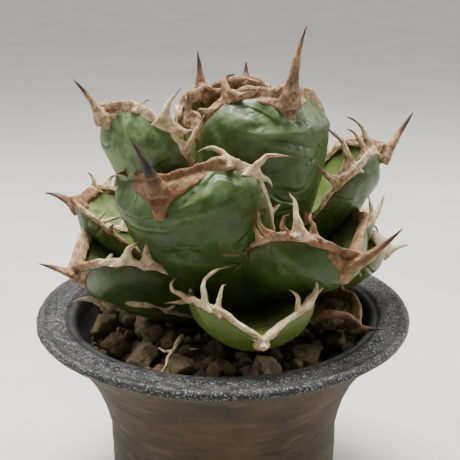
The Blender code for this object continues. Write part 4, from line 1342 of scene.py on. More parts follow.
LEAVES: tuple[Leaf, ...] = (
    Leaf("dry_leaf", -5, 20, -4, 13, 41, 26, (10, 14), cup=(50, 80), thickness=3.2, spine=11, age=0.9,
         dry=True,
         teeth=(plain_tooth(1, 0.55, 7, 0.5), plain_tooth(-1, 0.7, 6), plain_tooth(1, 0.8, 6, 0.8))),
    Leaf("leaf_low_back", -4, 0, -1, 13, 48, 38, (5, 22), thickness=6, age=0.5,
         teeth=(plain_tooth(1, 0.5, 6), plain_tooth(1, 0.75, 7), plain_tooth(-1, 0.45, 6),
                plain_tooth(-1, 0.7, 7))),
    Leaf("leaf_low_left", -3, -18, -3, 13, 44, 34, (12, 32), cup=(40, 40), thickness=4, spine=12, age=0.1,
         crown_age=0.1, spine_bend=(0, 0, -0.8), young=0.4,
         teeth=(plain_tooth(1, 0.55, 5), plain_tooth(1, 0.8, 5), plain_tooth(-1, 0.6, 5))),
    Leaf("leaf_low_right", -2, 8, 1, 13, 54, 40, (10, 35), spine=10, spine_bend=(0.4, 0, -0.6), thickness=7,
         age=0.2, crown_age=0.15, young=0.5,
         teeth=(plain_tooth(-1, 0.55, 5), plain_tooth(-1, 0.8, 4),
                Tooth(1, 0.96, (1, 6, 0), (-5, 4, -2), 2.4), plain_tooth(1, 0.6, 7), plain_tooth(1, 0.8, 6))),
    Leaf("leaf_back_left", -1, 0, 0, 13, 52, 40, (8, 25), thickness=7, age=0.4,
         teeth=(plain_tooth(1, 0.5, 6), plain_tooth(1, 0.76, 8), plain_tooth(-1, 0.5, 7),
                plain_tooth(-1, 0.76, 8))),
    Leaf("leaf_front", 0, 2, 4, 12.5, 50, 50, (6, 16), cup=(50, 65), spine=6, lean=4, age=0.05, crown_age=0.1,
         tongue=0.97, band=1.3, young=0.6,
         teeth=(Tooth(-1, 0.95, (8, 2, 4), (7, -1, 7), 1.9), Tooth(-1, 0.9, (11, 1, 3), (8, 1, 14), 3.4),
                Tooth(-1, 0.66, (8, 0, -5), (9, -3, 0), 2.8), Tooth(-1, 0.6, (2, 1, -5), (4, -1, -9), 1.7),
                Tooth(-1, 0.4, (5, 0, 2), (8, -2, 4), 2.0), Tooth(1, 0.96, (5, 1, 3), (5, -3, 6), 1.6),
                Tooth(1, 0.9, (7, 3, -1), (8, -1, 5), 3.0), Tooth(1, 0.78, (8, 3, -2), (6, -2, 4), 2.4),
                Tooth(1, 0.5, (5, 0, 2), (8, -2, 4), 2.0))),
    Leaf("leaf_back_right", 1, 0, 3, 12.5, 54, 44, (12, 32), spine=18, age=0.4,
         teeth=(plain_tooth(1, 0.5, 8), plain_tooth(1, 0.78, 9), plain_tooth(-1, 0.45, 7),
                plain_tooth(-1, 0.75, 9))),
    Leaf("leaf_left_low", 2, 10, 9, 12.5, 52, 58, (5, 28), cup=(60, 60), thickness=12, spine=15, age=0.12,
         crown_age=0.75, spine_bend=(-0.3, 0, 0), tongue=0.9, band=1.25, wax_and_top_light=0.5,
         teeth=(Tooth(1, 0.83, (5, 2, 3), (8, -2, 5), 4.0), Tooth(1, 0.67, (8, 4, 5), (12, -1, 10), 3.4),
                Tooth(1, 0.5, (9, -3, 3), (6, -5, -3), 2.6), Tooth(1, 0.39, (3, 0, -2), (4, -2, -6), 1.5),
                Tooth(1, 0.93, (2, 1, 1), (3, 0, 2), 2.4), Tooth(-1, 0.94, (6, -2, 3), (10, -4, 5), 2.0),
                Tooth(-1, 0.88, (4, -3, 3), (6, -9, 6), 2.6), plain_tooth(-1, 0.6, 9))),
    Leaf("leaf_right_low", 3, -18, 18, 12.5, 50, 60, (8, 34), cup=(55, 62), thickness=12, lean=10, spine=23,
         spine_bend=(0.6, 0.2, 0.9), age=0.7, crown_age=0.85, tongue=0.86, tongue_width=0.35, band=1.45,
         wax_and_top_light=0.4,
         teeth=(Tooth(-1, 0.97, (8, 3, 3), (8, 1, 6), 2.8), Tooth(-1, 0.93, (9, 4, 4), (14, 3, 8), 4.2, 0.05),
                Tooth(-1, 0.83, (10, -2, -2), (14, 3, 3), 3.2), Tooth(-1, 0.88, (7, 2, 2), (6, 6, 2), 2.0),
                Tooth(-1, 0.72, (5, -2, 1), (8, 1, 3), 2.4), Tooth(-1, 0.5, (3, -2, -6), (9, -4, -8), 1.8),
                plain_tooth(1, 0.5, 9), plain_tooth(1, 0.78, 9), plain_tooth(-1, 0.3, 8))),
    Leaf("leaf_back", 4, 0, 6, 12, 58, 48, (18, 42), spine=18, age=0.3,
         teeth=(plain_tooth(1, 0.45, 9), plain_tooth(1, 0.7, 11), plain_tooth(-1, 0.45, 8),
                plain_tooth(-1, 0.72, 11))),
    Leaf("leaf_front_broad", 5, 5, 10, 12, 66, 66, (35, 74), cup=(40, 62), thickness=11, lean=-12,
         widest=0.78, spine=20, spine_bend=(-0.5, 0.2, 0.4), age=0.12, crown_age=0.95, band=1.7,
         tongue=0.85, tongue_width=0.3, dark=0.05, wax_and_top_light=0.7,
         teeth=(Tooth(1, 0.95, (1, 8, 5), (-6, 7, 10), 5.2), Tooth(1, 0.87, (5, 6, -1), (13, 1, -8), 3.0),
                Tooth(1, 0.84, (3, 0, -3), (1, -4, -5), 2.2), Tooth(-1, 0.87, (4, 10, 3), (9, 10, 11), 3.0),
                Tooth(-1, 0.97, (3, 5, 4), (6, 5, 8), 4.4), Tooth(-1, 0.99, (5, 5, 8), (9, 3, 13), 1.6),
                plain_tooth(1, 0.6, 7), plain_tooth(-1, 0.6, 8)),
         folds=(Fold((-0.4, 0.8), (0.02, 0.79), 1.1, 0.75), Fold((0.02, 0.79), (0.16, 0.86), 1.1, 0.75),
                Fold((0.22, 0.9), (0.48, 0.93), 1.6, 0.9), Fold((0.16, 0.84), (0.42, 0.84), 1.1, 0.5),
                Fold((0.74, 0.88), (0.7, 0.76), 1.2, 0.6), Fold((-0.6, 0.66), (-0.35, 0.56), 1.6, 0.5),
                Fold((-0.1, 0.6), (0.35, 0.55), 1.8, 0.5))),
    Leaf("leaf_right_inner", 6, 0, 7, 10.5, 56, 44, (15, 38), cup=(45, 50), spine=12,
         spine_bend=(-0.5, 0, 0.5), age=0.1, crown_age=0.2, young=0.35,
         teeth=(Tooth(1, 0.98, (4, 8, 3), (7, -2, 2), 1.8), Tooth(1, 0.97, (3, 3, 1), (5, -1, 2), 1.5),
                Tooth(-1, 0.98, (2, 3, 4), (3, 5, 8), 1.6), plain_tooth(1, 0.7, 9),
                plain_tooth(-1, 0.65, 7))),
    Leaf("leaf_left_thin", 7, 10, 7, 10, 64, 40, (20, 42), cup=(45, 50), spine=15, spine_bend=(-0.2, 0, -0.7),
         age=0.55, crown_age=1.0,
         teeth=(Tooth(-1, 0.98, (4, 4, 0), (3, 8, 2), 1.8), Tooth(-1, 0.93, (6, 4, 1), (9, -3, 3), 1.8),
                Tooth(-1, 0.86, (5, 1, 1), (6, -3, 2), 1.6), plain_tooth(1, 0.7, 5),
                plain_tooth(-1, 0.6, 8))),
    Leaf("leaf_tall", 8, 3, 12, 9, 81, 58, (58, 88), cup=(40, 55), thickness=11, lean=4, widest=0.74,
         spine=26, spine_bend=(0.25, 0, 0), age=0.75, crown_age=0.75, band=2.3, tongue=0.91,
         tongue_width=0.3, dark=0.7, wax_and_top_light=0.8,
         teeth=(Tooth(-1, 0.96, (5, 8, 1), (1, 9, 6), 4.6), Tooth(-1, 0.89, (3, 3, -2), (2, 2, -4), 3.4),
                Tooth(-1, 0.78, (2, 1, -1), (3, -1, -2), 2.4), Tooth(1, 0.9, (1, 1, 0), (3, 0, -1), 1.5),
                plain_tooth(1, 0.7, 3)),
         folds=(Fold((-0.2, 0.97), (0.06, 0.86), 1.2, 1.0), Fold((-0.4, 0.86), (-0.05, 0.87), 1.0, 1.0),
                Fold((-0.33, 0.84), (0.3, 0.77), 1.0, 1.1), Fold((-0.42, 0.85), (-0.38, 0.76), 1.1, 0.8),
                Fold((-0.8, 0.84), (-0.66, 0.76), 1.3, 0.7), Fold((0.55, 0.9), (0.8, 0.86), 1.6, 0.5),
                Fold((-0.1, 0.66), (0.3, 0.62), 1.6, 0.5))),
    Leaf("leaf_tall_back", 9, 8, 16, 7.5, 74, 42, (58, 85), spine=9, age=0.6,
         teeth=(plain_tooth(-1, 0.6, 8), plain_tooth(-1, 0.85, 8), plain_tooth(1, 0.6, 8),
                plain_tooth(1, 0.85, 7))),
    Leaf("leaf_left_high", 10, 6, 13, 7.5, 83, 50, (48, 69), cup=(40, 50), lean=-8, spine=16,
         spine_bend=(-0.5, 0, 0), age=0.15, crown_age=0.65, band=1.4, tongue=0.93, wax_and_top_light=2.8,
         teeth=(Tooth(1, 0.88, (3, 8, 1), (9, 9, 8), 4.6), Tooth(1, 0.97, (2, 4, 1), (5, 2, 2), 1.8),
                Tooth(1, 0.76, (5, 3, 0), (11, 8, 7), 3.2), Tooth(1, 0.82, (4, 2, 1), (7, -1, 3), 1.8),
                plain_tooth(-1, 0.6, 4), plain_tooth(1, 0.5, 9)),
         folds=(Fold((0.1, 0.62), (0.6, 0.72), 1.4, 0.7),)),
    Leaf("leaf_right_high", 11, 12, 14, 8, 70, 46, (32, 60), cup=(50, 55), spine=20, spine_bend=(0.2, 0, 0.3),
         age=0.45, crown_age=0.7, tongue=0.93, band=1.1,
         teeth=(Tooth(-1, 0.84, (6, 9, 6), (12, 8, 14), 3.0), Tooth(-1, 0.97, (4, 9, 7), (10, 7, 11), 2.2),
                Tooth(-1, 0.95, (4, 6, 5), (9, 5, 8), 1.8), Tooth(-1, 0.77, (9, -1, 4), (12, 3, 9), 2.8),
                Tooth(-1, 0.5, (6, 0, 2), (9, -2, 3), 2.4), Tooth(1, 0.76, (6, 4, 2), (8, 10, 1), 2.2),
                Tooth(1, 0.66, (4, 3, 1), (6, 6, 0), 2.0), plain_tooth(1, 0.5, 8)),
         folds=(Fold((-0.6, 0.86), (-0.2, 0.6), 1.6, 0.5),)),
    Leaf("leaf_high_back_left", 12, -8, 16, 7, 69, 40, (65, 85), cup=(50, 60), spine=18,
         spine_bend=(-0.1, 0, 0), age=0.5, crown_age=0.8, band=1.5,
         teeth=(Tooth(1, 0.72, (3, -3, 2), (7, -4, 1), 2.6), Tooth(1, 0.88, (4, 2, 2), (5, 5, 3), 3.4),
                plain_tooth(1, 0.6, 7), plain_tooth(-1, 0.7, 7))),
    Leaf("heart_leaf_1", 13, 0, 20, 6.5, 58, 36, (70, 88), cup=(60, 70), thickness=7, spine=12,
         teeth=(plain_tooth(1, 0.6, 5), plain_tooth(-1, 0.7, 5), plain_tooth(1, 0.85, 5))),
    Leaf("heart_leaf_2", 14, 0, 22, 6.2, 56, 34, (72, 88), cup=(62, 72), thickness=7, spine=11,
         teeth=(plain_tooth(1, 0.65, 5), plain_tooth(-1, 0.6, 5), plain_tooth(-1, 0.85, 5))),
    Leaf("heart_leaf_3", 15, 0, 24, 6.0, 53, 31, (74, 89), cup=(66, 76), thickness=6, spine=10,
         teeth=(plain_tooth(1, 0.6, 4), plain_tooth(-1, 0.7, 4))),
    Leaf("heart_leaf_4", 16, 0, 25, 5.8, 50, 28, (76, 89), cup=(70, 80), thickness=6, spine=10,
         teeth=(plain_tooth(1, 0.66, 4), plain_tooth(-1, 0.6, 4))),
)


@dataclass
class Blade:
    """The curved, cupped form of one leaf, and where its edge and spine run."""

    leaf: Leaf
    rim_height: float
    stem_x: float = 4.0
    golden_angle: float = 137.5
    first_heading: float = -85.0
    edge: float = 1.4
    taper: float = 0.35
    shoulder: float = 3.2
    neck: float = 3.1
    steps: int = 400

    def __post_init__(self) -> None:
        """Runs the midrib once, in fine steps."""
        middle = (np.arange(self.steps) + 0.5) / self.steps
        along = self.axes(middle)[0]
        heading = self.heading()
        start = np.array([self.stem_x, 0.0, self.rim_height + self.leaf.seat])
        start = start + np.array([math.cos(heading), math.sin(heading), 0.0]) * self.leaf.root
        self.rib = np.vstack([start, start + np.cumsum(along, axis=0) * self.leaf.length / self.steps])

    def heading(self) -> float:
        """The leaf's direction from the stem, in radians."""
        return math.radians(self.first_heading + self.golden_angle * self.leaf.turn + self.leaf.nudge)

    def axes(self, share: Array) -> tuple[Array, Array, Array]:
        """Unit vectors along the blade, across it, and out of its inner face.

        Args:
            share: Shares of the leaf's length.

        Returns:
            Three arrays of vectors.
        """
        leaf, heading = self.leaf, self.heading()
        rise = np.radians(leaf.rise[0] + (leaf.rise[1] - leaf.rise[0]) * share)[..., None]
        lean = np.radians(leaf.lean * share)[..., None]
        outward = np.array([math.cos(heading), math.sin(heading), 0.0])
        along = outward * np.cos(rise) + np.array([0.0, 0.0, 1.0]) * np.sin(rise)
        across = np.array([-math.sin(heading), math.cos(heading), 0.0]) + np.zeros_like(along)
        face = np.cross(along, across)
        ahead = along * np.cos(lean) + across * np.sin(lean)
        return ahead, across * np.cos(lean) - along * np.sin(lean), face

    def midrib(self, share: Array) -> Array:
        """Points on the middle of the inner face."""
        place = np.clip(share, 0.0, 1.0) * self.steps
        return follow(self.rib, place)

    def half_width(self, share: Array) -> Array:
        """Half the blade's width."""
        leaf = self.leaf
        full = leaf.width / 2
        wide = full * (leaf.root_width + (1 - leaf.root_width) * ease(share / leaf.widest))
        fall = np.clip((share - leaf.widest) / (1 - leaf.widest), 0.0, 1.0)
        closing = self.neck + (full - self.neck) * np.sqrt(np.maximum(1 - fall**self.shoulder, 0.0))
        return np.where(share < leaf.widest, wide, closing)

    def curl(self, share: Array) -> Array:
        """Half the angle that a section curls through, in radians."""
        return np.radians(self.leaf.cup[0] + (self.leaf.cup[1] - self.leaf.cup[0]) * share)

    def skin(self, share: Array, place: Array, face: Face) -> tuple[Array, Array]:
        """Points of one face and the way out of that face.

        Args:
            share: Shares of the leaf's length.
            place: Places across from -1 to 1.
            face: Which face.

        Returns:
            Points and unit vectors.
        """
        _, across, inward = self.axes(share)
        curl = self.curl(share)
        bend = (self.half_width(share) / curl)[..., None]
        angle = (curl * place)[..., None]
        normal = inward * np.cos(angle) - across * np.sin(angle)
        points = self.midrib(share) + across * bend * np.sin(angle) + inward * bend * (1 - np.cos(angle))
        if face is Face.INNER:
            return points, normal
        depth = self.leaf.thickness * (1 - self.taper * share) * (1 - 0.8 * ease((share - 0.85) / 0.15))
        body = self.edge + (depth - self.edge) * np.maximum(1 - place * place, 0.0) ** 0.7
        return points - normal * body[..., None], -normal

    def margin(self, share: Array, side: int) -> tuple[Array, Array, Array, Array]:
        """The edge: its middle line and the ways outward, along and inward there.

        Args:
            share: Shares of the leaf's length.
            side: +1 or -1.

        Returns:
            Points, then three arrays of unit vectors.
        """
        along, across, inward = self.axes(share)
        curl = self.curl(share)[..., None]
        outward = across * np.cos(curl) * side + inward * np.sin(curl)
        normal = inward * np.cos(curl) - across * np.sin(curl) * side
        points, _ = self.skin(share, np.full(np.shape(share), float(side)), Face.INNER)
        return points - normal * self.edge / 2, outward, along, normal

    def spine_line(self, count: int = 26) -> tuple[Array, Array, Array]:
        """The end spine's middle line, and the ways across and inward at its root.

        Args:
            count: Number of points.

        Returns:
            Points and two vectors.
        """
        direction, across, face = (axis[0] for axis in self.axes(np.array([1.0])))
        centre = self.midrib(np.array([1.0]))[0] - face * self.neck
        bend = np.array(self.leaf.spine_bend)
        line = [centre - direction * 3.0, centre]
        for share in np.linspace(0.0, 1.0, count)[1:]:
            step = unit(direction + bend * share)
            line.append(line[-1] + step * self.leaf.spine / (count - 1))
        return np.array(line), across, face


class Horn:
    """Gathers the solid forms of one leaf's horn before they are fused."""

    sides = 10

    def __init__(self) -> None:
        """Starts with nothing."""
        self.points: list[Array] = []
        self.faces: list[list[int]] = []
        self.count = 0
        self.bones: list[Array] = []

    def add(self, points: Array, faces: Array) -> None:
        """Adds a closed form."""
        self.faces.extend((faces + self.count).tolist())
        self.points.append(points)
        self.count += len(points)

    def tube(self, line: Array, wide: Array, thick: Array, across: Array, tip: Array, age: Array) -> None:
        """A closed tube with oval sections.

        Args:
            line: Its middle line.
            wide: Half its width at each point.
            thick: Half its thickness at each point.
            across: Roughly the way of its width at each point.
            tip: How near each point is to a dark point, from 0 to 1.
            age: How brown each point is, from 0 to 1.
        """
        ahead = unit(np.gradient(line, axis=0))
        side = unit(across - ahead * np.sum(across * ahead, axis=1, keepdims=True))
        over = np.cross(ahead, side)
        turn = full_turn(self.sides)
        ring = line[:, None] + side[:, None] * (wide[:, None] * np.cos(turn))[..., None]
        ring = ring + over[:, None] * (thick[:, None] * np.sin(turn))[..., None]
        rows = len(line)
        points = np.vstack([ring.reshape(-1, 3), line[0] - ahead[0] * 0.1, line[-1] + ahead[-1] * 0.15])
        number = numbered(rows, self.sides)
        after = np.roll(number, -1, axis=1)
        self.add(points, between_rings(number, along_first=False))
        first, last = rows * self.sides, rows * self.sides + 1
        base = self.count - len(points)
        for index in range(self.sides):
            low, high = int(number[0, index]), int(after[0, index])
            self.faces.append([base + high, base + low, base + first])
            low, high = int(number[-1, index]), int(after[-1, index])
            self.faces.append([base + low, base + high, base + last])
        run = np.concatenate([[0.0], np.cumsum(np.linalg.norm(np.diff(line, axis=0), axis=1))])
        self.bones.append(np.column_stack([line, tip, age, run, side, over]))

    def plate(self, over: Array, under: Array, tip: float, age: float, along: Array) -> None:
        """A thin closed plate between two grids of points.

        Args:
            over: Its upper points, rows by columns.
            under: Its lower points.
            tip: How near a dark point it is.
            age: How brown it is.
            along: The way that its fibres run.
        """
        rows, columns = over.shape[:2]
        number = numbered(rows, columns)
        corner_numbers = [number[:-1, :-1], number[:-1, 1:], number[1:, 1:], number[1:, :-1]]
        top = np.stack(corner_numbers, -1).reshape(-1, 4)
        rim = np.concatenate([number[0, :-1], number[:-1, -1], number[-1, :0:-1], number[:0:-1, 0]])
        after = np.roll(rim, -1)
        lift = rows * columns
        wall = np.stack([rim, rim + lift, after + lift, after], -1)
        points = np.vstack([over.reshape(-1, 3), under.reshape(-1, 3)])
        self.add(points, np.vstack([top, top[:, ::-1] + lift, wall]))
        middle = over[::2, ::2].reshape(-1, 3)
        side = unit(np.cross(along, np.array([0.3, 0.2, 0.9])))
        other = np.cross(along, side)
        low = rows * 2 // 3
        border = np.vstack([over[0], over[:low, 0], over[:low, -1]])
        for part, part_tip, part_age in ((middle, tip, age), (border, *SEAM)):
            ones = np.ones((len(part), 1))
            marks = [part_tip * ones, part_age * ones, (part @ along)[:, None]]
            self.bones.append(np.hstack([part, *marks, side * ones, other * ones]))

    def fused(self, voxel: float, seed: int) -> tuple[Array, list, dict[str, Array], Array]:
        """One skin round everything, with split, fibrous relief.

        Args:
            voxel: Grid width of the fusing in millimetres.
            seed: The leaf's own number.

        Returns:
            Points, faces, values for each point, and fibre coordinates.
        """
        raw = mesh_piece("horn_forms", np.vstack(self.points), self.faces, [])
        fuse = raw.modifiers.new("fuse", "REMESH")
        fuse.mode = "VOXEL"
        fuse.voxel_size = voxel * MM
        soft = raw.modifiers.new("soft", "SMOOTH")
        soft.factor = 0.5
        soft.iterations = 3
        points, normals, faces = arrays_of(raw)
        bpy.data.objects.remove(raw, do_unlink=True)
        bones = np.vstack(self.bones)
        nearest = np.zeros(len(points), np.int64)
        for start in range(0, len(points), 4000):
            part = points[start:start + 4000]
            gap = ((part[:, None] - bones[None, :, :3]) ** 2).sum(-1)
            nearest[start:start + 4000] = gap.argmin(1)
        bone = bones[nearest]
        off = points - bone[:, :3]
        fibre = np.column_stack([bone[:, 5], (off * bone[:, 6:9]).sum(1), (off * bone[:, 9:12]).sum(1)])
        stretched = fibre * np.array([0.22, 1.0, 1.0]) + seed * 17.0
        relief = 0.26 * noise(stretched, 1.1, seed, 2) + 0.3 * noise(points, 3.0, seed + 5, 2)
        keep = np.clip(1.0 - bone[:, 3], 0.12, 1.0)
        points = points + normals * (relief * keep)[:, None]
        return points, faces, {"tip": bone[:, 3], "age": bone[:, 4]}, fibre


@dataclass
class LeafMaker:
    """Builds a finished leaf, skin and horn together."""

    finishes: Finishes
    rim_height: float
    stations: int = 92
    ring: int = 35
    voxel: float = 0.42
    inner_swell: float = 0.45
    dry_swell: float = 0.9
    outer_bulge: float = 0.8
    outer_ripple: float = 0.16
    fold_ditch: float = 0.35
    bridge_points: int = 8

    def skin_grid(self, blade: Blade) -> tuple[Array, list, dict[str, Array], Array]:
        """The blade's skin with its folds and swellings.

        Args:
            blade: The leaf's form.

        Returns:
            Points, faces, values for each point, and map coordinates.
        """
        leaf = blade.leaf
        share = towards_tip(self.stations)[:, None] * np.ones(self.ring)
        place = np.sin(np.linspace(math.pi / 2, -math.pi / 2, self.ring)) * np.ones((self.stations, 1))
        inner, inner_way = blade.skin(share, place, Face.INNER)
        outer, outer_way = blade.skin(share, place[:, ::-1], Face.OUTER)
        width = blade.half_width(share)
        fade = np.maximum(1 - np.abs(place) ** 6, 0.0)
        seed = leaf.turn * 3 + 60
        swell = noise(inner, 14.0, seed, 2) * (self.dry_swell if leaf.dry else self.inner_swell)
        inner = inner + inner_way * (swell * fade)[..., None]
        bulge = noise(outer, 17.0, seed + 1, 2) * self.outer_bulge
        bulge = bulge + noise(outer, 5.0, seed + 2, 2) * self.outer_ripple
        crease = np.zeros_like(bulge)
        for fold in leaf.folds:
            start = np.array([fold.start[0] * leaf.width / 2, fold.start[1] * leaf.length])
            end = np.array([fold.end[0] * leaf.width / 2, fold.end[1] * leaf.length])
            flat = np.stack([place[:, ::-1] * width, share * leaf.length], -1)
            line = end - start
            along = np.clip(((flat - start) @ line) / (line @ line), 0.0, 1.0)
            sag = 1.6 * np.sin(along * math.pi)
            gap = np.linalg.norm(flat - (start + along[..., None] * line), axis=-1)
            bulge = bulge + fold.height * np.exp(-((gap / fold.width) ** 2)) * (0.5 + 0.3 * sag)
            ditch = np.exp(-(((gap - 2.2 * fold.width) / fold.width) ** 2))
            bulge = bulge - self.fold_ditch * fold.height * ditch
            crease = np.maximum(crease, np.exp(-((gap / fold.width * 1.6) ** 2)) * min(fold.height, 1.0))
        outer = outer + outer_way * (bulge * fade[:, ::-1])[..., None]
        points = np.concatenate([inner, outer], axis=1)
        side = 2 * self.ring
        number = numbered(self.stations, side)
        quads = between_rings(number)
        ahead, across = inner[9, 0] - inner[8, 0], inner[8, 1] - inner[8, 0]
        if np.linalg.det(np.array([ahead, across, inner_way[8, 1]])) > 0:
            quads = quads[:, ::-1]
        faces = quads.tolist()
        for row, flip in ((0, False), (self.stations - 1, True)):
            for index in range(self.ring - 1):
                cap = [int(number[row, i]) for i in (index, index + 1, side - 2 - index, side - 1 - index)]
                faces.append(cap[::-1] if flip else cap)
        both = np.concatenate([place, place[:, ::-1]], axis=1)
        flat = np.ones((self.stations, self.ring))
        values = {
            "along": np.concatenate([share, share], axis=1).ravel(),
            "inner": np.concatenate([flat, flat * 0.0], axis=1).ravel(),
            "edge": np.abs(both).ravel(),
            "young": np.full(both.size, leaf.young),
            # Each leaf's bloom amount, part real wax and part painted top light.
            "waxed_and_top_lit": np.full(both.size, leaf.wax_and_top_light),
            "crease": np.concatenate([flat * 0.0, crease * fade[:, ::-1]], axis=1).ravel(),
        }
        up = np.concatenate([share, share], axis=1) * leaf.length
        uv = np.stack([both * np.concatenate([width, width], 1), up], -1)
        return points.reshape(-1, 3), faces, values, uv.reshape(-1, 2)

    def ribbon(self, horn: Horn, blade: Blade, side: int) -> None:
        """The horny band along one edge.

        Args:
            horn: Where the form goes.
            blade: The leaf's form.
            side: +1 or -1.
        """
        leaf = blade.leaf
        share = np.concatenate([np.linspace(0.16, 0.69, 42), towards_tip(60, 0.7)])
        centre, across, _, normal = blade.margin(share, side)
        outward = unit(np.cross(np.gradient(centre, axis=0), normal))
        outward *= np.sign(np.sum(outward[0] * across[0]))
        wobble = noise(centre, 6.0, leaf.turn + 50 + side, 3)
        ruffle = noise(centre, 8.0, leaf.turn + 90 + side, 2) * ease((share - 0.3) / 0.3)
        ruffle = ruffle * np.minimum((1.0 - share) / 0.04, 1.0)
        crown = ease((share - 0.7) / 0.28)
        wide = (1.15 + 0.35 * wobble + (leaf.band * 1.5) * crown) * ease(share / 0.3 + 0.35)
        thick = 0.85 + 0.15 * wobble + 0.2 * crown
        line = centre + outward * (0.3 + 0.6 * wobble * wide)[:, None] + normal * (1.5 * ruffle)[:, None]
        line = line - outward * (0.3 * (wide - 1.2))[:, None]
        age = leaf.age + (leaf.crown_age - leaf.age) * ease((share - 0.9) / 0.1)
        join, extra = blade.spine_line()[0][6], self.bridge_points
        reach = np.linspace(0.0, 1.0, extra + 1)[1:, None]
        bridge = line[-1] * (1 - reach) + join * reach + normal[-1] * 0.8 * np.sin(reach * math.pi)
        line = np.vstack([line, bridge])
        wide = np.append(wide, np.linspace(wide[-1], 1.3, extra))
        thick = np.append(thick, np.linspace(thick[-1], 1.0, extra))
        age = np.append(age, np.full(extra, leaf.crown_age))
        outward = np.vstack([outward, np.tile(outward[-1], (extra, 1))])
        share = np.append(share, np.ones(extra))
        horn.tube(line, wide, thick, outward, np.zeros(len(share)), age)
        seam = horn.bones[-1].copy()
        seam[:, :3] -= outward * wide[:, None]
        seam[:, 4] = SEAM[1]
        horn.bones.append(seam[share < 0.93])

    def tooth(self, horn: Horn, blade: Blade, tooth: Tooth) -> None:
        """One curved, flattened tooth that flows out of the band.

        Args:
            horn: Where the form goes.
            blade: The leaf's form.
            tooth: Its place and shape.
        """
        centre, outward, along, normal = (part[0] for part in blade.margin(np.array([tooth.at]), tooth.side))
        local = np.stack([outward, along, normal])
        bend = centre + np.array(tooth.bend) @ local
        point = centre + np.array(tooth.point) @ local
        share = np.linspace(0.0, 1.0, 22)[:, None]
        root = centre - outward * 0.6
        control = bend * 1.35 - (root + point) * 0.175
        line = bow(root, control, point, share)
        run = share[:, 0]
        twist = noise(line + tooth.at * 90.0, 3.5, 7, 2) * 1.1 * np.sin(run * math.pi)
        line = line + twist[:, None] * (normal + 0.7 * along)
        size = 0.55 + 0.45 * tooth.base / 3.0
        wide = 1.5 * tooth.base * np.exp(-8.0 * run) + 1.2 * size * (1 - run) ** 0.8 + 0.2
        thick = 0.75 * size * (1 - run) ** 0.7 + 0.24 + 0.35 * np.exp(-6 * run)
        own_age = blade.leaf.age if tooth.age is None else tooth.age
        age = own_age + 0.25 * run
        tip = ease((run - 0.45) / 0.5) * (0.55 + 0.45 * own_age)
        horn.tube(line, wide, thick, np.tile(along, (len(line), 1)), tip, age)

    def spine(self, horn: Horn, blade: Blade) -> None:
        """The end spine, with a broad root that saddles the leaf's tip.

        Args:
            horn: Where the form goes.
            blade: The leaf's form.
        """
        leaf = blade.leaf
        line, across, _ = blade.spine_line()
        run = np.linspace(0.0, 1.0, len(line))
        size = 0.55 + 0.45 * min(leaf.spine / 16.0, 1.3)
        wide = size * (2.6 * (1 - run) ** 1.15 + 1.6 * np.exp(-9 * run)) + 0.24
        thick = size * (1.9 * (1 - run) ** 1.05 + 0.7 * np.exp(-9 * run)) + 0.24
        tip = ease((run - leaf.dark + 0.2) / 0.55) * (0.35 + 0.65 * leaf.crown_age)
        age = np.minimum(leaf.crown_age + 0.1 * run, 1.0)
        horn.tube(line, wide, thick, np.tile(across, (len(line), 1)), tip, age)

    def tongue(self, horn: Horn, blade: Blade, face: Face) -> None:
        """The horn that runs down one face from the spine's root.

        Args:
            horn: Where the form goes.
            blade: The leaf's form.
            face: Which face.
        """
        leaf = blade.leaf
        start = leaf.tongue if face is Face.OUTER else 1.0 - (1.0 - leaf.tongue) * 0.5
        rows, columns = 26, 25
        share = np.linspace(start, 0.998, rows)[:, None] * np.ones(columns)
        grow = ease((share - start) / (1.0 - start))
        ragged = 1.0 + 0.4 * noise(np.dstack([share * 40, share * 0, share * 0]), 2.0, leaf.turn + 77, 2)
        flow = leaf.tongue_width * (0.2 + 0.6 * grow) + (1.0 - leaf.tongue_width) * grow**5
        reach = np.minimum(flow * ragged, 1.0)
        place = np.linspace(-1.0, 1.0, columns) * reach
        surface, way = blade.skin(share, place, face)
        rim = np.minimum(1.0, 3.2 * (1 - np.abs(np.linspace(-1, 1, columns)))) * ease((share - start) / 0.02)
        high = surface + way * (0.75 * rim + 0.05)[..., None]
        low = surface - way * 1.1
        direction = unit(blade.midrib(np.array([1.0]))[0] - blade.midrib(np.array([start]))[0])
        across = blade.axes(np.array([1.0]))[1][0]
        turned = np.linalg.det(np.array([across, direction, way[rows // 2 - 1, columns // 2]])) < 0
        if turned:
            high, low = high[:, ::-1], low[:, ::-1]
        horn.plate(high, low, 0.25 * leaf.crown_age, leaf.crown_age, direction)

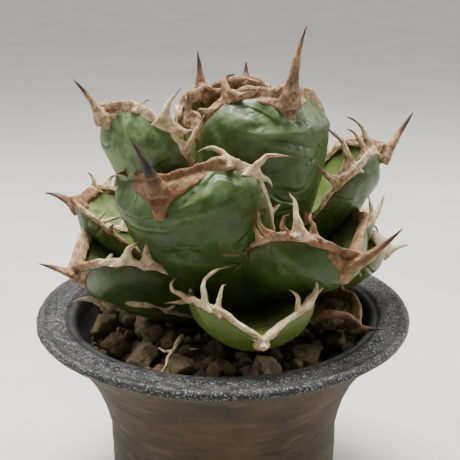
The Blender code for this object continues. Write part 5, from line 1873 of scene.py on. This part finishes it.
    def build(self, leaf: Leaf) -> bpy.types.Object:
        """One finished leaf.

        Args:
            leaf: Its shape.

        Returns:
            The dressed leaf, standing for its solid.
        """
        blade = Blade(leaf, self.rim_height)
        points, faces, values, uv = self.skin_grid(blade)
        horn = Horn()
        for side in (-1, 1):
            self.ribbon(horn, blade, side)
        for tooth in leaf.teeth:
            self.tooth(horn, blade, tooth)
        self.spine(horn, blade)
        for face in Face:
            self.tongue(horn, blade, face)
        horn_points, horn_faces, horn_values, fibre = horn.fused(self.voxel, leaf.turn + 20)
        split = len(points)
        slots = np.concatenate([np.zeros(len(faces)), np.ones(len(horn_faces))])
        faces = faces + [[index + split for index in face] for face in horn_faces]
        merged = {key: np.concatenate([value, np.zeros(len(horn_points))]) for key, value in values.items()}
        for key, value in horn_values.items():
            merged[key] = np.concatenate([np.zeros(split), value])
        uv = np.vstack([uv, fibre[:, :2]])
        skin = self.finishes.bark if leaf.dry else self.finishes.skin
        materials = [skin.material, self.finishes.horn.material]
        points = np.vstack([points, horn_points])
        piece = mesh_piece(f"{leaf.name}_grown", points, faces, materials, slots, merged, uv)
        layer = piece.data.attributes.new("fibre", "FLOAT_VECTOR", "POINT")
        layer.data.foreach_set("vector", np.vstack([np.zeros((split, 3)), fibre]).astype(np.float32).ravel())
        return own(piece, Slot.DRY if leaf.dry else Slot.SKIN, leaf.name)


@dataclass
class Heart:
    """The rolled spear of young leaves over the stem."""

    finishes: Finishes
    stem_x: float = 4.0
    turns: float = 2.5
    segments: int = 64
    rows: int = 120

    def spear(self) -> bpy.types.Object:
        """The spear: leaf edges wind round it up to a brown point.

        Returns:
            The dressed spear, standing for its solid.
        """
        low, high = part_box("spear")
        base, top = low.z / MM, high.z / MM
        reach = (high.x - low.x) / 2 / MM
        share = np.linspace(0.0, 1.0, self.rows)[:, None]
        turn = full_turn(self.segments)[None, :]
        swell = np.sin(math.pi * np.minimum(0.5 + share * 0.5, 0.985)) ** 0.8
        wound = (turn / math.tau + share * self.turns * 0.4) * 3 % 1.0
        radius = reach * swell * (0.9 + 0.1 * wound**2) - 0.15
        points = lathe(radius, turn, base + (top - base) * share + 0 * turn)
        points[..., 0] += self.stem_x
        number = numbered(self.rows, self.segments)
        faces = between_rings(number, along_first=False).tolist()
        faces += [number[0][::-1].tolist(), number[-1].tolist()]
        ones = np.ones(points.shape[:2])
        shown = {
            "along": share * 0.6, "inner": 0.6, "edge": wound, "young": 0.3, "waxed_and_top_lit": 1.0,
            "tip": ease((share - 0.82) / 0.12), "age": 0.8,
        }
        values = {key: (value * ones).ravel() for key, value in shown.items()}
        uv = np.stack([radius * turn, share * 50.0 * ones], -1).reshape(-1, 2)
        slots = np.where(np.arange(len(faces)) >= int(self.rows * 0.86) * self.segments, 1, 0)
        slots[-2] = 0
        materials = [self.finishes.skin.material, self.finishes.horn.material]
        piece = mesh_piece("rolled_spear", points.reshape(-1, 3), faces, materials, slots, values, uv)
        return own(piece, Slot.SPEAR, "spear")


# ---------------------------------------------------------------- stage


@dataclass(frozen=True)
class Softbox:
    """One soft light: where it stands, what it points at, its size and power."""

    name: str
    place: Triple
    aim: Triple
    size: float
    power: float
    tint: Triple = (1.0, 1.0, 1.0)


@dataclass
class Studio:
    """Plain pale floor, soft lights and the camera."""

    floor_half: float = 30.0
    camera_place: Triple = (0.0, -0.3216, 0.2276)
    pitch: float = 17.92
    yaw: float = 0.49
    lens: float = 66.5
    ceiling: float = 2.3
    ceiling_spread: float = 70.0
    ceiling_tilt: float = -8.0
    surround: float = 0.17
    surround_tint: Triple = (0.86, 0.86, 0.83)
    lights: tuple[Softbox, ...] = (
        Softbox("overhead_softbox", (-0.08, 0.12, 0.8), (0.0, 0.02, 0.12), 0.42, 17.0, (1.0, 0.985, 0.95)),
        Softbox("left_softbox", (-0.7, 0.0, 0.5), (0.0, 0.0, 0.12), 0.45, 2.6, (0.97, 0.985, 1.0)),
        Softbox("right_softbox", (0.75, 0.2, 0.45), (0.0, 0.0, 0.12), 0.45, 5.0, (1.0, 0.985, 0.95)),
    )

    def floor(self) -> None:
        """The floor, level with the pot's foot."""
        material = bpy.data.materials.new("pale_floor")
        material.use_nodes = True
        wiring = Wiring(material.node_tree)
        shader = material.node_tree.nodes["Principled BSDF"]
        place = wiring.put("ShaderNodeTexCoord").outputs["Object"]
        cloud = wiring.cloud(place, 6.0, Detail=8.0, Roughness=0.65)
        tone = wiring.ramp(cloud, [(0.35, (0.53, 0.515, 0.475)), (0.65, (0.60, 0.585, 0.54))])
        wiring.tree.links.new(tone, shader.inputs["Base Color"])
        shader.inputs["Roughness"].default_value = 0.85
        half = self.floor_half / MM
        corners = np.array([[-half, -half, 0.0], [half, -half, 0.0], [half, half, 0.0], [-half, half, 0.0]])
        mesh_piece("studio_floor", corners, [[0, 1, 2, 3]], [material])

    def light(self) -> None:
        """The softboxes and a pale, even surround."""
        for box in self.lights:
            lamp = bpy.data.lights.new(box.name, "AREA")
            lamp.shape = "DISK"
            lamp.size = box.size
            lamp.energy = box.power
            lamp.color = box.tint
            obj = bpy.data.objects.new(box.name, lamp)
            obj.location = box.place
            aim = Vector(box.aim) - Vector(box.place)
            obj.rotation_euler = aim.to_track_quat("-Z", "Y").to_euler()
            bpy.context.scene.collection.objects.link(obj)
        ceiling = bpy.data.lights.new("even_ceiling", "SUN")
        ceiling.energy = self.ceiling
        ceiling.angle = math.radians(self.ceiling_spread)
        sun = bpy.data.objects.new("even_ceiling", ceiling)
        sun.rotation_euler = (math.radians(self.ceiling_tilt), 0.0, 0.0)
        bpy.context.scene.collection.objects.link(sun)
        world = bpy.data.worlds.new("pale_surround")
        world.use_nodes = True
        shade = world.node_tree.nodes["Background"]
        shade.inputs["Color"].default_value = (*self.surround_tint, 1.0)
        shade.inputs["Strength"].default_value = self.surround
        bpy.context.scene.world = world

    def camera(self) -> None:
        """The camera, looking a little down at the plant."""
        data = bpy.data.cameras.new("view")
        data.lens = self.lens
        data.sensor_width = 36.0
        data.clip_start = 0.01
        obj = bpy.data.objects.new("view", data)
        obj.location = self.camera_place
        obj.rotation_euler = (math.radians(90.0 - self.pitch), 0.0, -math.radians(self.yaw))
        bpy.context.scene.collection.objects.link(obj)
        bpy.context.scene.camera = obj


def dress_carried(nodes: dict, finishes: Finishes) -> None:
    """Gives the solids that stay in view their finishes.

    Args:
        nodes: Node names to their objects.
        finishes: The object's finishes.
    """
    for name, finish in (("stem", finishes.bark), ("drain_net", finishes.net)):
        materials = nodes[name].data.materials
        materials.clear()
        materials.append(finish.material)


def corners(box: tuple[Vector, Vector]) -> list[list[float]]:
    """A box as plain lists."""
    return [[float(value) for value in corner] for corner in box]


def main() -> None:
    """Builds the whole visual model round the frame."""
    logging.basicConfig(level=logging.INFO, format="%(name)s %(message)s")
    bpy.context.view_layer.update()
    studio = Studio()
    studio.camera()
    studio.light()
    studio.floor()
    finishes = Finishes.build()
    pot = Pot()
    pot.build(finishes)
    bedding = Bedding(pot)
    bedding.grit(finishes)
    taken = bedding.placed_stones(finishes, RockMaker(detail=4))
    bedding.loose_stones(finishes, RockMaker(detail=3, facets=12), taken)
    bedding.dead_root(finishes)
    bed = bedding.seed_bed()
    own(PebbleScatter().apply("fine_gravel", bed, finishes.gravel), Slot.GRAVEL)
    own(RootScatter().apply("root_hairs", bed, finishes.bark), Slot.BARK)
    bpy.data.objects.remove(bed, do_unlink=True)
    maker = LeafMaker(finishes, pot.height)
    for leaf in LEAVES:
        maker.build(leaf)
    Heart(finishes).spear()
    dress_carried(frame["nodes"], finishes)


if __name__ == "__main__":
    main()
